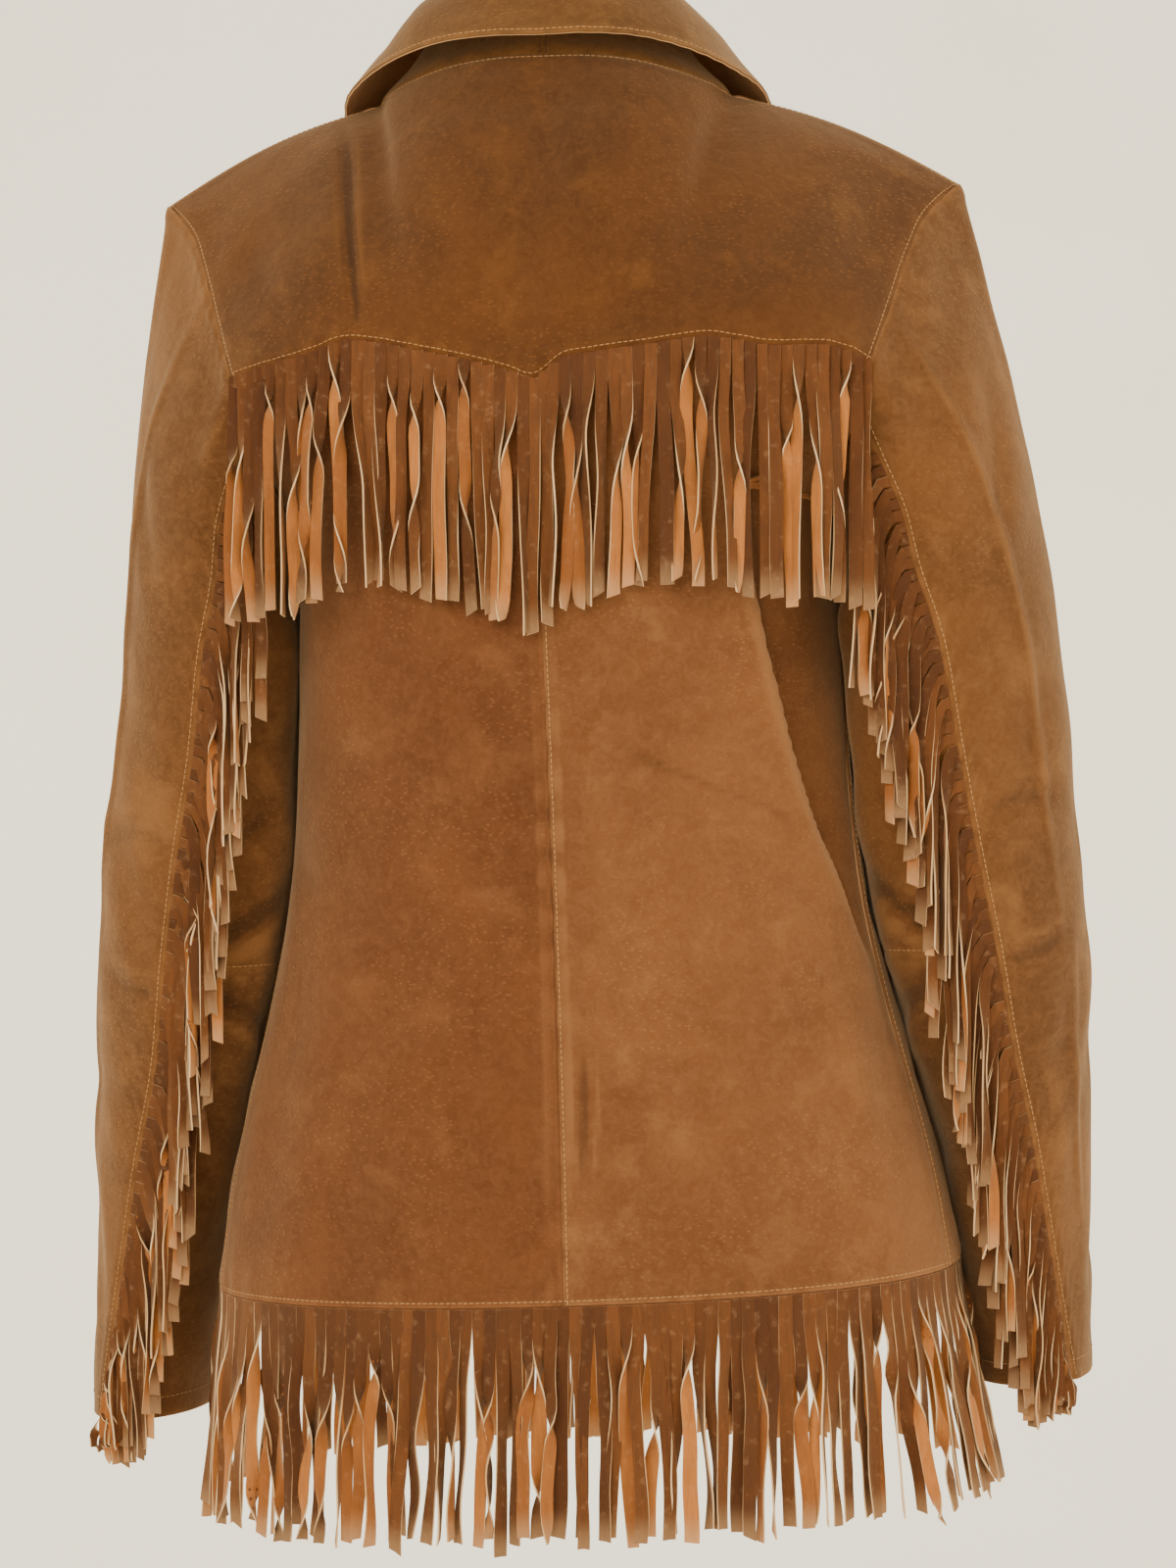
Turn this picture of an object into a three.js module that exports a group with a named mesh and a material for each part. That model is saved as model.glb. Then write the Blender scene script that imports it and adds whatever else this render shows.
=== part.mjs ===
// A fringed suede jacket, worn and closed, with the arms hanging.
// Millimetres, +Z up. The front faces -Y and the wearer's left is +X.
// The origin is between the shoulders at the base of the neck, where the wearer carries the jacket.
import * as THREE from "three";

// ---------------------------------------------------------------- driving sizes
const WALL = 2; // thickness of the suede wall
const SEAM_GAP = 0.3; // clearance between two pieces sewn edge to edge
const SEAM_SHARE = 0.58 * SEAM_GAP; // the part of the gap, and a little over, that each piece gives
const MITRE_EASE = 1.25; // how much further than a true mitre the inside of a wall is cut back
const PLY_GAP = 1.6; // clearance under a piece that lies on another
const FRINGE_WALL = 3; // thickness of a strip of hanging strands
const LAP = 14; // how far each front runs past the centre front
const LAP_FLAT = 10; // how far the upper front stays clear past the lower one
const LAP_BLEND = 45; // where the upper front has settled onto the body
const YOKE_FRINGE = 128; // drop of the strands from the yoke seam
const HEM_FRINGE = 120; // drop of the strands from the hem seam
const CUFF_FRINGE = 18; // drop of the last sleeve strands past the cuff
const SLEEVE_FRINGE_WIDTH = 40; // how far the sleeve strands spread from their seam
const HEM_FLARE = 8; // how far the ends of the hem strands stand out
const FRINGE_START = 2; // how far below the yoke seam the strip begins to show
const FREE_HANG = 0.9; // share of the body's half width past which strands hang free of it
const HEM_Z = -657; // hem seam
const UNDERARM_Z = -258; // lowest point of the armhole
const LEAN = 14; // sideways shift of the hem, towards the wearer's right
const ARM_CLEARANCE = 2.5; // least distance of a sleeve from the body's surface
const HEM_TILT = 0.045; // slope of the hem, higher on the wearer's right
const BUTTON_RADIUS = 9;
const BUTTON_THICKNESS = 3;
const BUTTON_BEVEL = 0.85; // on its outer corners
const BUTTON_RIM = 2.4; // width of the raised rim
const BUTTON_SLOPE = 1.2; // width of the slope from the rim to the dished middle
const BUTTON_SIDES = 12;
const BUTTON_GAP = 0.5; // clearance under a button
const FRINGE_OFF = 1; // clearance under the strands
const SLEEVE_FRINGE_OFF = 3; // clearance under the strands that lie round the arm
const FRINGE_TRIM = 1.5; // how far the hem strips stop short of the side seams
const SPREAD_SECTIONS = 5; // sections of the sleeve over which its strands come to their full spread
const HEM_STRIP = { near: -WALL, far: 0.4 }; // the hem strands' faces, off the hem's own surface
const EDGE_BLEND = 3; // how soon a row of the body bends to its own side edge: a power of its share
const ARMHOLE_BLEND = 2.5; // the same for the rows above the underarm
const FOOT_DRIFT = 0.15; // sideways part of a rising curve's way at its foot
const TOP_DRIFT = 0.92; // and at its top
const FOLD_PEAK = 2.6; // brings the fold's hollow to its stated depth
const STAND_LEAN = 0.8; // how soon the collar stand leans in: a power of its share
const ROLL_SIDE = 0.3; // part of the fall's sideways spread that is reached at its roll
const SMALL_TURN = 0.02; // cosine past which a neighbour's seam counts as turned against a piece
const SHARPEST = -0.2; // least cosine between two sewn pieces that a mitre is worked out for
const ROUNDS = 6; // steps in which a shift or an angle settles
const KEY_STEP = 20; // points closer than 1 / KEY_STEP mm are one

// Grid of each piece: how many steps along its edges.
const HALF_COLUMNS = 12; // from centre back, or centre front, to the side
const NECK_COLUMNS = 5; // of these, the ones that end at the neck seam
const YOKE_ROWS = 7; // yoke seam to shoulder, and armhole from yoke corner to shoulder tip
const SIDE_ROWS = 8; // hem to underarm
const BACK_ARMHOLE_ROWS = 5; // underarm to yoke corner
const FRONT_ARMHOLE_ROWS = 9; // underarm to shoulder tip at the front
const COLLAR_ROWS = 3;
const FRINGE_ROWS = 4;
const FRONT_SEAM_STEPS = 5; // from the underarm to the sleeve's front seam
const SETTLED_SECTION = 5; // section of the sleeve at which its columns have settled round the arm
const FREE_SECTION = 4; // and at which it no longer follows the armhole
const FREE_CUFF_SECTIONS = 3; // below the elbow, over which the whole arm stands out
const SLEEVE_FRINGE_COLUMNS = 3;
const SLEEVE_FRINGE_FIRST = 1; // first section of the sleeve with strands

// Sections of the body: half width, depth to the back and to the front, how far the
// section is squared off, and the place of the side seam.
const BODY = [
  { z: -657, half: 204, back: 116, front: 113, square: 0.04, seamY: 36 },
  { z: -597, half: 194, back: 112, front: 110, square: 0.04, seamY: 33 },
  { z: -552, half: 182, back: 109, front: 108, square: 0.05, seamY: 30 },
  { z: -487, half: 165, back: 106, front: 107, square: 0.05, seamY: 24 },
  { z: -430, half: 155, back: 104, front: 109, square: 0.05, seamY: 18 },
  { z: -370, half: 151, back: 105, front: 114, square: 0.05, seamY: 13 },
  { z: -309, half: 148, back: 108, front: 119, square: 0.06, seamY: 10 },
  { z: -258, half: 148, back: 110, front: 120, square: 0.06, seamY: 8 },
  { z: -236, half: 161, back: 110, front: 119, square: 0.08, seamY: 8 },
  { z: -215, half: 176, back: 109, front: 117, square: 0.1, seamY: 8 },
  { z: -184, half: 196, back: 108, front: 113, square: 0.12, seamY: 8 },
  { z: -160, half: 203, back: 107, front: 110, square: 0.13, seamY: 8 },
];

// The armhole seam, on the wearer's left, from the shoulder tip round the back.
const ARMHOLE_YOKE = [
  { x: 219, y: 5, z: -69.5 },
  { x: 212, y: 15, z: -76 },
  { x: 200.5, y: 28, z: -88.5 },
  { x: 188, y: 48, z: -117 },
  { x: 178, y: 65, z: -147 },
  { x: 168, y: 81, z: -176 },
];
const ARMHOLE_BACK = [
  { x: 168, y: 81, z: -176 },
  { x: 162, y: 78, z: -196 },
  { x: 153.5, y: 65, z: -223 },
  { x: 147, y: 40, z: -247 },
  { x: 147.5, y: 8, z: -258 },
];
const ARMHOLE_FRONT = [
  { x: 147.5, y: 8, z: -258 },
  { x: 149, y: -28, z: -251 },
  { x: 157, y: -55, z: -224 },
  { x: 168, y: -62, z: -188 },
  { x: 178, y: -55, z: -155 },
  { x: 189, y: -42, z: -124 },
  { x: 204, y: -22, z: -94 },
  { x: 219, y: 5, z: -69.5 },
];

// The neck seam, on the wearer's left, from the centre back to the shoulder and on to the front.
const NECK_BACK = [
  { x: 0, y: 62, z: -6 },
  { x: 35, y: 59.5, z: -7 },
  { x: 62, y: 50, z: -11 },
  { x: 85, y: 33, z: -16 },
  { x: 97, y: 8, z: -18 },
];
const NECK_FRONT = [
  { x: 97, y: 8, z: -18 },
  { x: 96, y: -20, z: -26 },
  { x: 82, y: -51, z: -42 },
  { x: 52, y: -77, z: -64 },
  { x: 22, y: -90, z: -79 },
  { x: 0, y: -93, z: -82 },
];
const SHOULDER_CROWN = 7; // rise of the shoulder seam over a straight line

// The lower edge of the yoke, across the whole back, in two scallops that meet in a point.
const YOKE_EDGE_RIGHT = [
  { x: -168, z: -176 },
  { x: -150, z: -168.5 },
  { x: -114, z: -168.5 },
  { x: -87, z: -164 },
  { x: -57, z: -167.5 },
  { x: -24, z: -171.5 },
  { x: -5, z: -176 },
  { x: 3.5, z: -184 },
];
const YOKE_EDGE_LEFT = [
  { x: 3.5, z: -184 },
  { x: 31, z: -175.5 },
  { x: 61, z: -168.5 },
  { x: 101, z: -161.5 },
  { x: 123, z: -167.5 },
  { x: 168, z: -176 },
];

// How the yoke and the fronts rise to the neck and to the shoulder: the length of the
// upright start, and the way from the top edge down the outside of the piece.
const YOKE_RISE = {
  neck: { lift: 62, back: 27, drop: 44 },
  shoulder: { lift: 52, back: 40, drop: 8 },
};
const FRONT_RISE = {
  neck: { lift: 60, back: 14, drop: 50 },
  shoulder: { lift: 95, back: 48, drop: 10 },
};

// The long fold on the wearer's right back: its ridge, and the depth of the hollow beside it.
const FOLD = [
  { z: -560, ridge: 172, depth: 0 },
  { z: -495, ridge: 160, depth: 4 },
  { z: -441, ridge: 141, depth: 10 },
  { z: -389, ridge: 124, depth: 14 },
  { z: -304, ridge: 106, depth: 12 },
  { z: -250, ridge: 99, depth: 5 },
  { z: -200, ridge: 96, depth: 0 },
];

// Sections of the sleeve, on the wearer's left: its outermost and innermost points, the
// middle and half of its depth, the angles of its two seams from the outside to the back, and
// how much further out the left and the right arm stand there.
const SLEEVE = [
  { ox: 219, oz: -69.5, ix: 147.5, iz: -258, y: 6, deep: 75, back: 100, front: 255, left: 0, right: 0 },
  { ox: 223.5, oz: -93, ix: 148.5, iz: -265, y: 5, deep: 75, back: 103, front: 255, left: -1, right: 1 },
  { ox: 232, oz: -137, ix: 149.5, iz: -275, y: 4, deep: 73, back: 106, front: 255, left: -2.5, right: 3 },
  { ox: 242, oz: -190, ix: 149.5, iz: -288, y: 2, deep: 70, back: 104, front: 254, left: -5, right: 4 },
  { ox: 250.5, oz: -250, ix: 140, iz: -306, y: -1, deep: 67, back: 98, front: 253, left: -7, right: 6 },
  { ox: 256, oz: -309, ix: 136, iz: -334, y: -5, deep: 64, back: 90, front: 252, left: -6, right: 8 },
  { ox: 262, oz: -370, ix: 139, iz: -380, y: -8, deep: 62, back: 87, front: 250, left: -5, right: 8 },
  { ox: 268, oz: -425, ix: 143, iz: -428, y: -12, deep: 60, back: 83, front: 248, left: -1, right: 5 },
  { ox: 272, oz: -488, ix: 152, iz: -488, y: -17, deep: 58, back: 79, front: 246, left: 0, right: 5 },
  { ox: 274, oz: -540, ix: 165, iz: -540, y: -24, deep: 55, back: 78, front: 243, left: 2, right: 4 },
  { ox: 274.5, oz: -590, ix: 182, iz: -590, y: -30, deep: 53, back: 74, front: 240, left: 5, right: 2 },
  { ox: 275, oz: -645, ix: 197, iz: -645, y: -37, deep: 50, back: 68, front: 236, left: 8, right: 0 },
  { ox: 275.5, oz: -695, ix: 203, iz: -695, y: -43, deep: 48, back: 60, front: 230, left: 13, right: 0 },
  { ox: 274, oz: -732, ix: 206, iz: -732, y: -47, deep: 47, back: 50, front: 225, left: 17, right: 1 },
];
const ELBOW_ROW = 8; // section of the sleeve that carries the elbow seam

// The collar, from the centre back (at 0) past the shoulder (0.5) to the centre front (1):
// the roll line and the free edge, inwards or outwards, up and sideways from the neck seam.
const COLLAR = [
  { at: 0, rollIn: 14, rollUp: 43, fallOut: 19, fallUp: 4, fallSide: 0 },
  { at: 0.25, rollIn: 24, rollUp: 46, fallOut: 20, fallUp: 5, fallSide: 0 },
  { at: 0.5, rollIn: 38, rollUp: 50, fallOut: 18, fallUp: -2, fallSide: 2 },
  { at: 0.75, rollIn: 18, rollUp: 36, fallOut: 28, fallUp: -18, fallSide: 16 },
  { at: 1, rollIn: 2, rollUp: 22, fallOut: 24, fallUp: -46, fallSide: 46 },
];
const ROLL_RISE = 7; // how far the fall stands over the top of the stand
const ROLL_OUT = 15; // how far out it turns down
const COLLAR_END = 3; // distance of each collar end from the centre front

const BUTTON_Z = [-150, -255, -360, -465, -570];

// ---------------------------------------------------------------- curves and tables
const radians = THREE.MathUtils.degToRad;
const lerp = THREE.MathUtils.lerp;
const smoothstep = THREE.MathUtils.smoothstep;
const vector = ({ x, y, z }) => new THREE.Vector3(x, y, z);

// All columns of a table at one value of its key column, on a smooth curve through the rows.
function lookUp(rows, key, value) {
  const sign = Math.sign(rows[rows.length - 1][key] - rows[0][key]);
  const last = rows.length - 2;
  let i = 0;
  while (i < last && sign * (value - rows[i + 1][key]) > 0) i++;
  const [a, b] = [rows[i], rows[i + 1]];
  const before = rows[Math.max(i - 1, 0)];
  const after = rows[Math.min(i + 2, last + 1)];
  const span = b[key] - a[key];
  const t = THREE.MathUtils.clamp((value - a[key]) / span, 0, 1);
  const result = { [key]: value };
  for (const column of Object.keys(a)) {
    if (column === key) continue;
    const slopeA = ((b[column] - before[column]) / (b[key] - before[key])) * span;
    const slopeB = ((after[column] - a[column]) / (after[key] - a[key])) * span;
    result[column] =
      a[column] * (1 + 2 * t) * (1 - t) ** 2 +
      slopeA * t * (1 - t) ** 2 +
      b[column] * t ** 2 * (3 - 2 * t) -
      slopeB * t ** 2 * (1 - t);
  }
  return result;
}

// Evenly spaced points on a smooth curve through the rows of a table.
function spaced(rows, steps) {
  return new THREE.CatmullRomCurve3(rows.map(vector), false, "centripetal").getSpacedPoints(steps);
}

const armholeYoke = spaced(ARMHOLE_YOKE, YOKE_ROWS).reverse(); // corner to tip
const armholeBack = spaced(ARMHOLE_BACK, BACK_ARMHOLE_ROWS).reverse(); // underarm to corner
const armholeFront = spaced(ARMHOLE_FRONT, FRONT_ARMHOLE_ROWS); // underarm to tip
const neckBack = spaced(NECK_BACK, NECK_COLUMNS); // centre back to shoulder
const neckFront = spaced(NECK_FRONT, NECK_COLUMNS).reverse(); // centre front to shoulder
const shoulderTip = vector(ARMHOLE_YOKE[0]);
const neckPoint = neckBack[NECK_COLUMNS];
const shoulderColumns = HALF_COLUMNS - NECK_COLUMNS;

function shoulderPoint(column) {
  const share = column / shoulderColumns;
  const point = neckPoint.clone().lerp(shoulderTip, share);
  point.z += SHOULDER_CROWN * Math.sin(Math.PI * share);
  return point;
}

// The top edge of the yoke (or of a front): neck seam, then shoulder seam.
function topEdge(neck, column) {
  return column <= NECK_COLUMNS ? neck[column].clone() : shoulderPoint(column - NECK_COLUMNS);
}

// ---------------------------------------------------------------- the body's own surface
// A point of the body at a height and an angle from the centre back.
function ring(z, angle) {
  const section = lookUp(BODY, "z", z);
  const squared = 1 + section.square * Math.sin(2 * angle) ** 2;
  const depth = Math.cos(angle) > 0 ? section.back : section.front;
  return new THREE.Vector3(section.half * Math.sin(angle) * squared, depth * Math.cos(angle) * squared, z);
}

// The angle at which the body's surface is seen from the middle in the direction of a point.
function angleOf(point) {
  const section = lookUp(BODY, "z", point.z);
  const depth = point.y > 0 ? section.back : section.front;
  return Math.atan2(point.x / section.half, point.y / depth);
}

function sideSeam(z) {
  const section = lookUp(BODY, "z", z);
  return ring(z, Math.acos(section.seamY / section.back));
}

// The side edge of the back panels, hem to yoke corner.
const sideEdge = [];
for (let i = 0; i < SIDE_ROWS; i++) sideEdge.push(sideSeam(lerp(HEM_Z, UNDERARM_Z, i / SIDE_ROWS)));
const backEdge = [...sideEdge, ...armholeBack];

function yokeEdgeZ(x) {
  const rows = x < YOKE_EDGE_LEFT[0].x ? YOKE_EDGE_RIGHT : YOKE_EDGE_LEFT;
  return lookUp(rows, "x", x).z;
}

// A point in a row of the body that ends at the given edge point.
function rowPoint(z, share, edge, start) {
  const end = angleOf(edge);
  const point = ring(z, lerp(start, end, share));
  const miss = edge.clone().sub(ring(edge.z, end));
  return point.addScaledVector(miss, share ** EDGE_BLEND);
}

// The yoke's lower edge, by column, on the wearer's left (side 1) or right (side -1).
function yokeFoot(side, column) {
  const share = column / HALF_COLUMNS;
  const corner = armholeBack[BACK_ARMHOLE_ROWS];
  const level = rowPoint(corner.z, share, corner, 0);
  const middle = YOKE_EDGE_LEFT[0].x;
  const x = side * level.x + middle * (1 - share);
  const z = yokeEdgeZ(x);
  const foot = rowPoint(z, share, corner.clone().setZ(z), 0);
  return new THREE.Vector3(x, foot.y, column === HALF_COLUMNS ? corner.z : z);
}

// The hollow between the long fold and the side edge, as a distance into the body.
function foldDepth(point, edge) {
  const fold = lookUp(FOLD, "z", THREE.MathUtils.clamp(point.z, FOLD[0].z, FOLD[FOLD.length - 1].z));
  const share = (-point.x - fold.ridge) / (edge.x - fold.ridge);
  if (share <= 0 || share >= 1) return 0;
  return fold.depth * Math.sqrt(share) * (1 - share) * FOLD_PEAK;
}

// A cubic curve that starts upright and comes to the top edge over the outside of the piece.
function rise(foot, top, share, upright, outward) {
  const lift = lerp(upright.neck.lift, upright.shoulder.lift, share.across);
  const back = lerp(upright.neck.back, upright.shoulder.back, share.across);
  const drop = lerp(upright.neck.drop, upright.shoulder.drop, share.across);
  const first = new THREE.Vector3(lerp(foot.x, top.x, FOOT_DRIFT), foot.y, foot.z + lift);
  const second = new THREE.Vector3(lerp(foot.x, top.x, TOP_DRIFT), top.y + outward * back, top.z - drop);
  return new THREE.CubicBezierCurve3(foot, first, second, top).getPoint(share.up);
}

// Rows from a foot row to the top edge, ending at the armhole on their outer side.
function risenRows(footRow, neck, armhole, upright, outward, side) {
  const rows = armhole.length - 1;
  const grid = [];
  for (let i = 0; i <= rows; i++) {
    const row = [];
    const up = (armhole[i].z - armhole[0].z) / (armhole[rows].z - armhole[0].z);
    for (let j = 0; j <= HALF_COLUMNS; j++) {
      const top = topEdge(neck, j);
      top.x *= side;
      const across = Math.min(j / NECK_COLUMNS, 1);
      const point = rise(footRow[j], top, { up, across }, upright, outward);
      const end = topEdge(neck, HALF_COLUMNS);
      end.x *= side;
      const edge = rise(footRow[HALF_COLUMNS], end, { up, across: 1 }, upright, outward);
      const goal = armhole[i].clone();
      goal.x *= side;
      point.addScaledVector(goal.sub(edge), (j / HALF_COLUMNS) ** ARMHOLE_BLEND);
      row.push(point);
    }
    grid.push(row);
  }
  return grid;
}

// ---------------------------------------------------------------- rows of points for each piece
const mirror = (point, side) => new THREE.Vector3(point.x * side, point.y, point.z);

function yokeGrid() {
  const halves = [-1, 1].map((side) => {
    const foot = [];
    for (let j = 0; j <= HALF_COLUMNS; j++) foot.push(yokeFoot(side, j));
    return risenRows(foot, neckBack, armholeYoke, YOKE_RISE, 1, side);
  });
  return halves[0].map((row, i) => [...row.slice(1).reverse(), ...halves[1][i]]);
}

function backGrid(side) {
  const corner = backEdge[backEdge.length - 1];
  return backEdge.map((edge) => {
    const share = (edge.z - HEM_Z) / (corner.z - HEM_Z);
    const row = [];
    for (let j = 0; j <= HALF_COLUMNS; j++) {
      const foot = yokeFoot(side, j);
      const z = lerp(HEM_Z, foot.z, share);
      const across = j / HALF_COLUMNS;
      const point = mirror(rowPoint(z, across, edge.clone().setZ(z), 0), side);
      point.x += YOKE_EDGE_LEFT[0].x * (1 - across) * smoothstep(share, 0, 1);
      if (edge === corner) point.copy(foot);
      if (j === HALF_COLUMNS) point.copy(mirror(edge, side));
      if (side < 0 && edge !== corner) point.y -= foldDepth(point, edge);
      row.push(point);
    }
    return row;
  });
}

function frontGrid(side) {
  const lower = [];
  for (const edge of [...sideEdge, armholeFront[0]]) {
    const row = [];
    for (let j = 0; j <= HALF_COLUMNS; j++) {
      row.push(mirror(rowPoint(edge.z, j / HALF_COLUMNS, edge, Math.PI), side));
    }
    lower.push(row);
  }
  const upper = risenRows(lower[SIDE_ROWS], neckFront, armholeFront, FRONT_RISE, -1, side);
  const grid = [...lower.slice(0, SIDE_ROWS), ...upper];
  for (const row of grid) {
    const lap = row[0].clone();
    lap.x -= side * LAP;
    row.unshift(lap);
    if (side < 0) continue;
    for (const point of row) {
      point.y -= (WALL + PLY_GAP) * (1 - smoothstep(point.x, LAP + LAP_FLAT, LAP + LAP_BLEND));
    }
  }
  return grid;
}

// The armhole as one loop from the shoulder tip, round the back and the underarm to the front.
const armholeLoop = [
  ...[...armholeYoke].reverse(),
  ...[...armholeBack].reverse().slice(1),
  ...armholeFront.slice(1, -1),
];
const SLEEVE_COLUMNS = armholeLoop.length;
const BACK_SEAM_COLUMN = YOKE_ROWS + 1; // first step of the armhole below the yoke corner
const UNDERARM_COLUMN = YOKE_ROWS + BACK_ARMHOLE_ROWS;
const FRONT_SEAM_COLUMN = UNDERARM_COLUMN + FRONT_SEAM_STEPS;

// A point of one section of the sleeve, at an angle from the outside towards the back.
function sleeveSection(section, angle) {
  const middle = new THREE.Vector3((section.ox + section.ix) / 2, section.y, (section.oz + section.iz) / 2);
  const outward = new THREE.Vector3((section.ox - section.ix) / 2, 0, (section.oz - section.iz) / 2);
  return middle
    .addScaledVector(outward, Math.cos(angle))
    .add(new THREE.Vector3(0, section.deep * Math.sin(angle), 0));
}

// The angle of each column in a section: the seams keep their places, the rest is even.
function columnAngle(section, column) {
  const back = radians(section.back);
  const front = radians(section.front);
  if (column <= BACK_SEAM_COLUMN) return (back * column) / BACK_SEAM_COLUMN;
  if (column <= FRONT_SEAM_COLUMN) {
    return lerp(back, front, (column - BACK_SEAM_COLUMN) / (FRONT_SEAM_COLUMN - BACK_SEAM_COLUMN));
  }
  return lerp(front, 2 * Math.PI, (column - FRONT_SEAM_COLUMN) / (SLEEVE_COLUMNS - FRONT_SEAM_COLUMN));
}

function armholeAngle(column) {
  const first = SLEEVE[0];
  const middle = new THREE.Vector3((first.ox + first.ix) / 2, first.y, (first.oz + first.iz) / 2);
  const outward = new THREE.Vector3((first.ox - first.ix) / 2, 0, (first.oz - first.iz) / 2);
  const arm = armholeLoop[column].clone().sub(middle);
  const angle = Math.atan2(arm.y / first.deep, arm.dot(outward) / outward.lengthSq());
  return column > UNDERARM_COLUMN && angle < Math.PI / 2 ? angle + 2 * Math.PI : angle;
}

// The half width of the body, at a height and a distance in front of or behind its middle.
function bodySide(z, y) {
  const section = lookUp(BODY, "z", Math.max(z, HEM_Z));
  const cosine = Math.min(Math.abs(y) / (y > 0 ? section.back : section.front), 1);
  const sine = Math.sqrt(1 - cosine ** 2);
  const below = Math.max(HEM_Z - z, 0);
  const squared = 1 + section.square * (2 * sine * cosine) ** 2;
  return section.half * sine * squared + (below / HEM_FRINGE) * HEM_FLARE;
}

// The sleeve as rows of points from the armhole to the cuff, closed round the arm. Where the
// arm hangs against the body, its inner side is pressed in to the body's shape.
function sleeveRows(side) {
  return SLEEVE.map((row, i) => {
    const out = side > 0 ? row.left : row.right;
    const free = smoothstep(i, ELBOW_ROW, ELBOW_ROW + FREE_CUFF_SECTIONS);
    return { ...row, ox: row.ox + out, ix: row.ix + out * free };
  }).map((section, i) => {
    const settled = smoothstep(i, 0, SETTLED_SECTION);
    const freed = smoothstep(i, 0, FREE_SECTION);
    const row = [];
    for (let j = 0; j < SLEEVE_COLUMNS; j++) {
      const natural = armholeAngle(j);
      const point = sleeveSection(section, lerp(natural, columnAngle(section, j), settled));
      const miss = armholeLoop[j].clone().sub(sleeveSection(SLEEVE[0], natural));
      point.addScaledVector(miss, 1 - freed);
      if (freed === 1) point.x = Math.max(point.x, bodySide(point.z, point.y) + ARM_CLEARANCE);
      row.push(point);
    }
    return row;
  });
}

// Some columns and rows of the sleeve, round the arm from one column to another.
function sleeveGrid(side, firstRow, lastRow, firstColumn, lastColumn) {
  const rows = sleeveRows(side);
  const grid = [];
  for (let i = firstRow; i <= lastRow; i++) {
    const row = [];
    for (let j = firstColumn; j <= lastColumn; j++) {
      row.push(mirror(rows[i][(j + SLEEVE_COLUMNS) % SLEEVE_COLUMNS], side));
    }
    grid.push(row);
  }
  return grid;
}

// The neck seam from the wearer's right front, round the back, to the left front.
const neckLeft = [...neckBack, ...[...neckFront].reverse().slice(1)];
neckLeft[neckLeft.length - 1].x += COLLAR_END;

// The neck seam's outward direction in plan, and its direction towards the front.
function neckFrame(index) {
  const before = neckLeft[Math.max(index - 1, 0)];
  const after = neckLeft[Math.min(index + 1, neckLeft.length - 1)];
  const along = after.clone().sub(before).setZ(0).normalize();
  if (index === 0) along.set(1, 0, 0);
  return { along, outward: new THREE.Vector3(-along.y, along.x, 0) };
}

function collarPoint(index, inwards, up, backwards = 0) {
  const { along, outward } = neckFrame(index);
  const point = neckLeft[index].clone().addScaledVector(outward, -inwards).addScaledVector(along, -backwards);
  point.z += up;
  return point;
}

function standGrid(side) {
  const grid = [];
  for (let i = 0; i <= COLLAR_ROWS; i++) {
    const share = i / COLLAR_ROWS;
    grid.push(
      neckLeft.map((_, index) => {
        const { rollIn, rollUp } = lookUp(COLLAR, "at", index / (neckLeft.length - 1));
        return mirror(collarPoint(index, rollIn * share ** STAND_LEAN, rollUp * share), side);
      }),
    );
  }
  return grid;
}

function fallGrid() {
  const half = neckLeft.map((_, index) => {
    const row = lookUp(COLLAR, "at", index / (neckLeft.length - 1));
    const top = collarPoint(index, row.rollIn, row.rollUp + SEAM_GAP);
    const over = collarPoint(index, row.rollIn - 1, row.rollUp + ROLL_RISE);
    const out = collarPoint(index, row.rollIn - ROLL_OUT, row.rollUp + ROLL_RISE, row.fallSide * ROLL_SIDE);
    const edge = collarPoint(index, -row.fallOut, row.fallUp, row.fallSide);
    return new THREE.CubicBezierCurve3(top, over, out, edge).getPoints(COLLAR_ROWS + 1);
  });
  return half[0].map((_, i) => [
    ...half.slice(1).reverse().map((line) => mirror(line[i], -1)),
    ...half.map((line) => line[i]),
  ]);
}

// ---------------------------------------------------------------- from rows of points to sewn walls
// The worn set of the jacket: the hip is a little to one side and the hem follows it.
function wornSet(point) {
  const depth = Math.max(-point.z, 0);
  const tilt = HEM_TILT * point.x * (depth / -HEM_Z) ** 2;
  point.x -= (LEAN * depth) / -HEM_Z;
  point.z -= tilt;
  return point;
}

// The unit normal at each point of a grid, from the faces round it.
function gridNormals(grid, flip) {
  return grid.map((row, i) =>
    row.map((point, j) => {
      const normal = new THREE.Vector3();
      for (const [di, dj] of [[1, 1], [1, -1], [-1, -1], [-1, 1]]) {
        const up = grid[i + di]?.[j];
        const across = row[j + dj];
        if (!up || !across) continue;
        const face = across.clone().sub(point).cross(up.clone().sub(point)).normalize();
        normal.addScaledVector(face, di * dj * flip);
      }
      return normal.normalize();
    }),
  );
}

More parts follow.
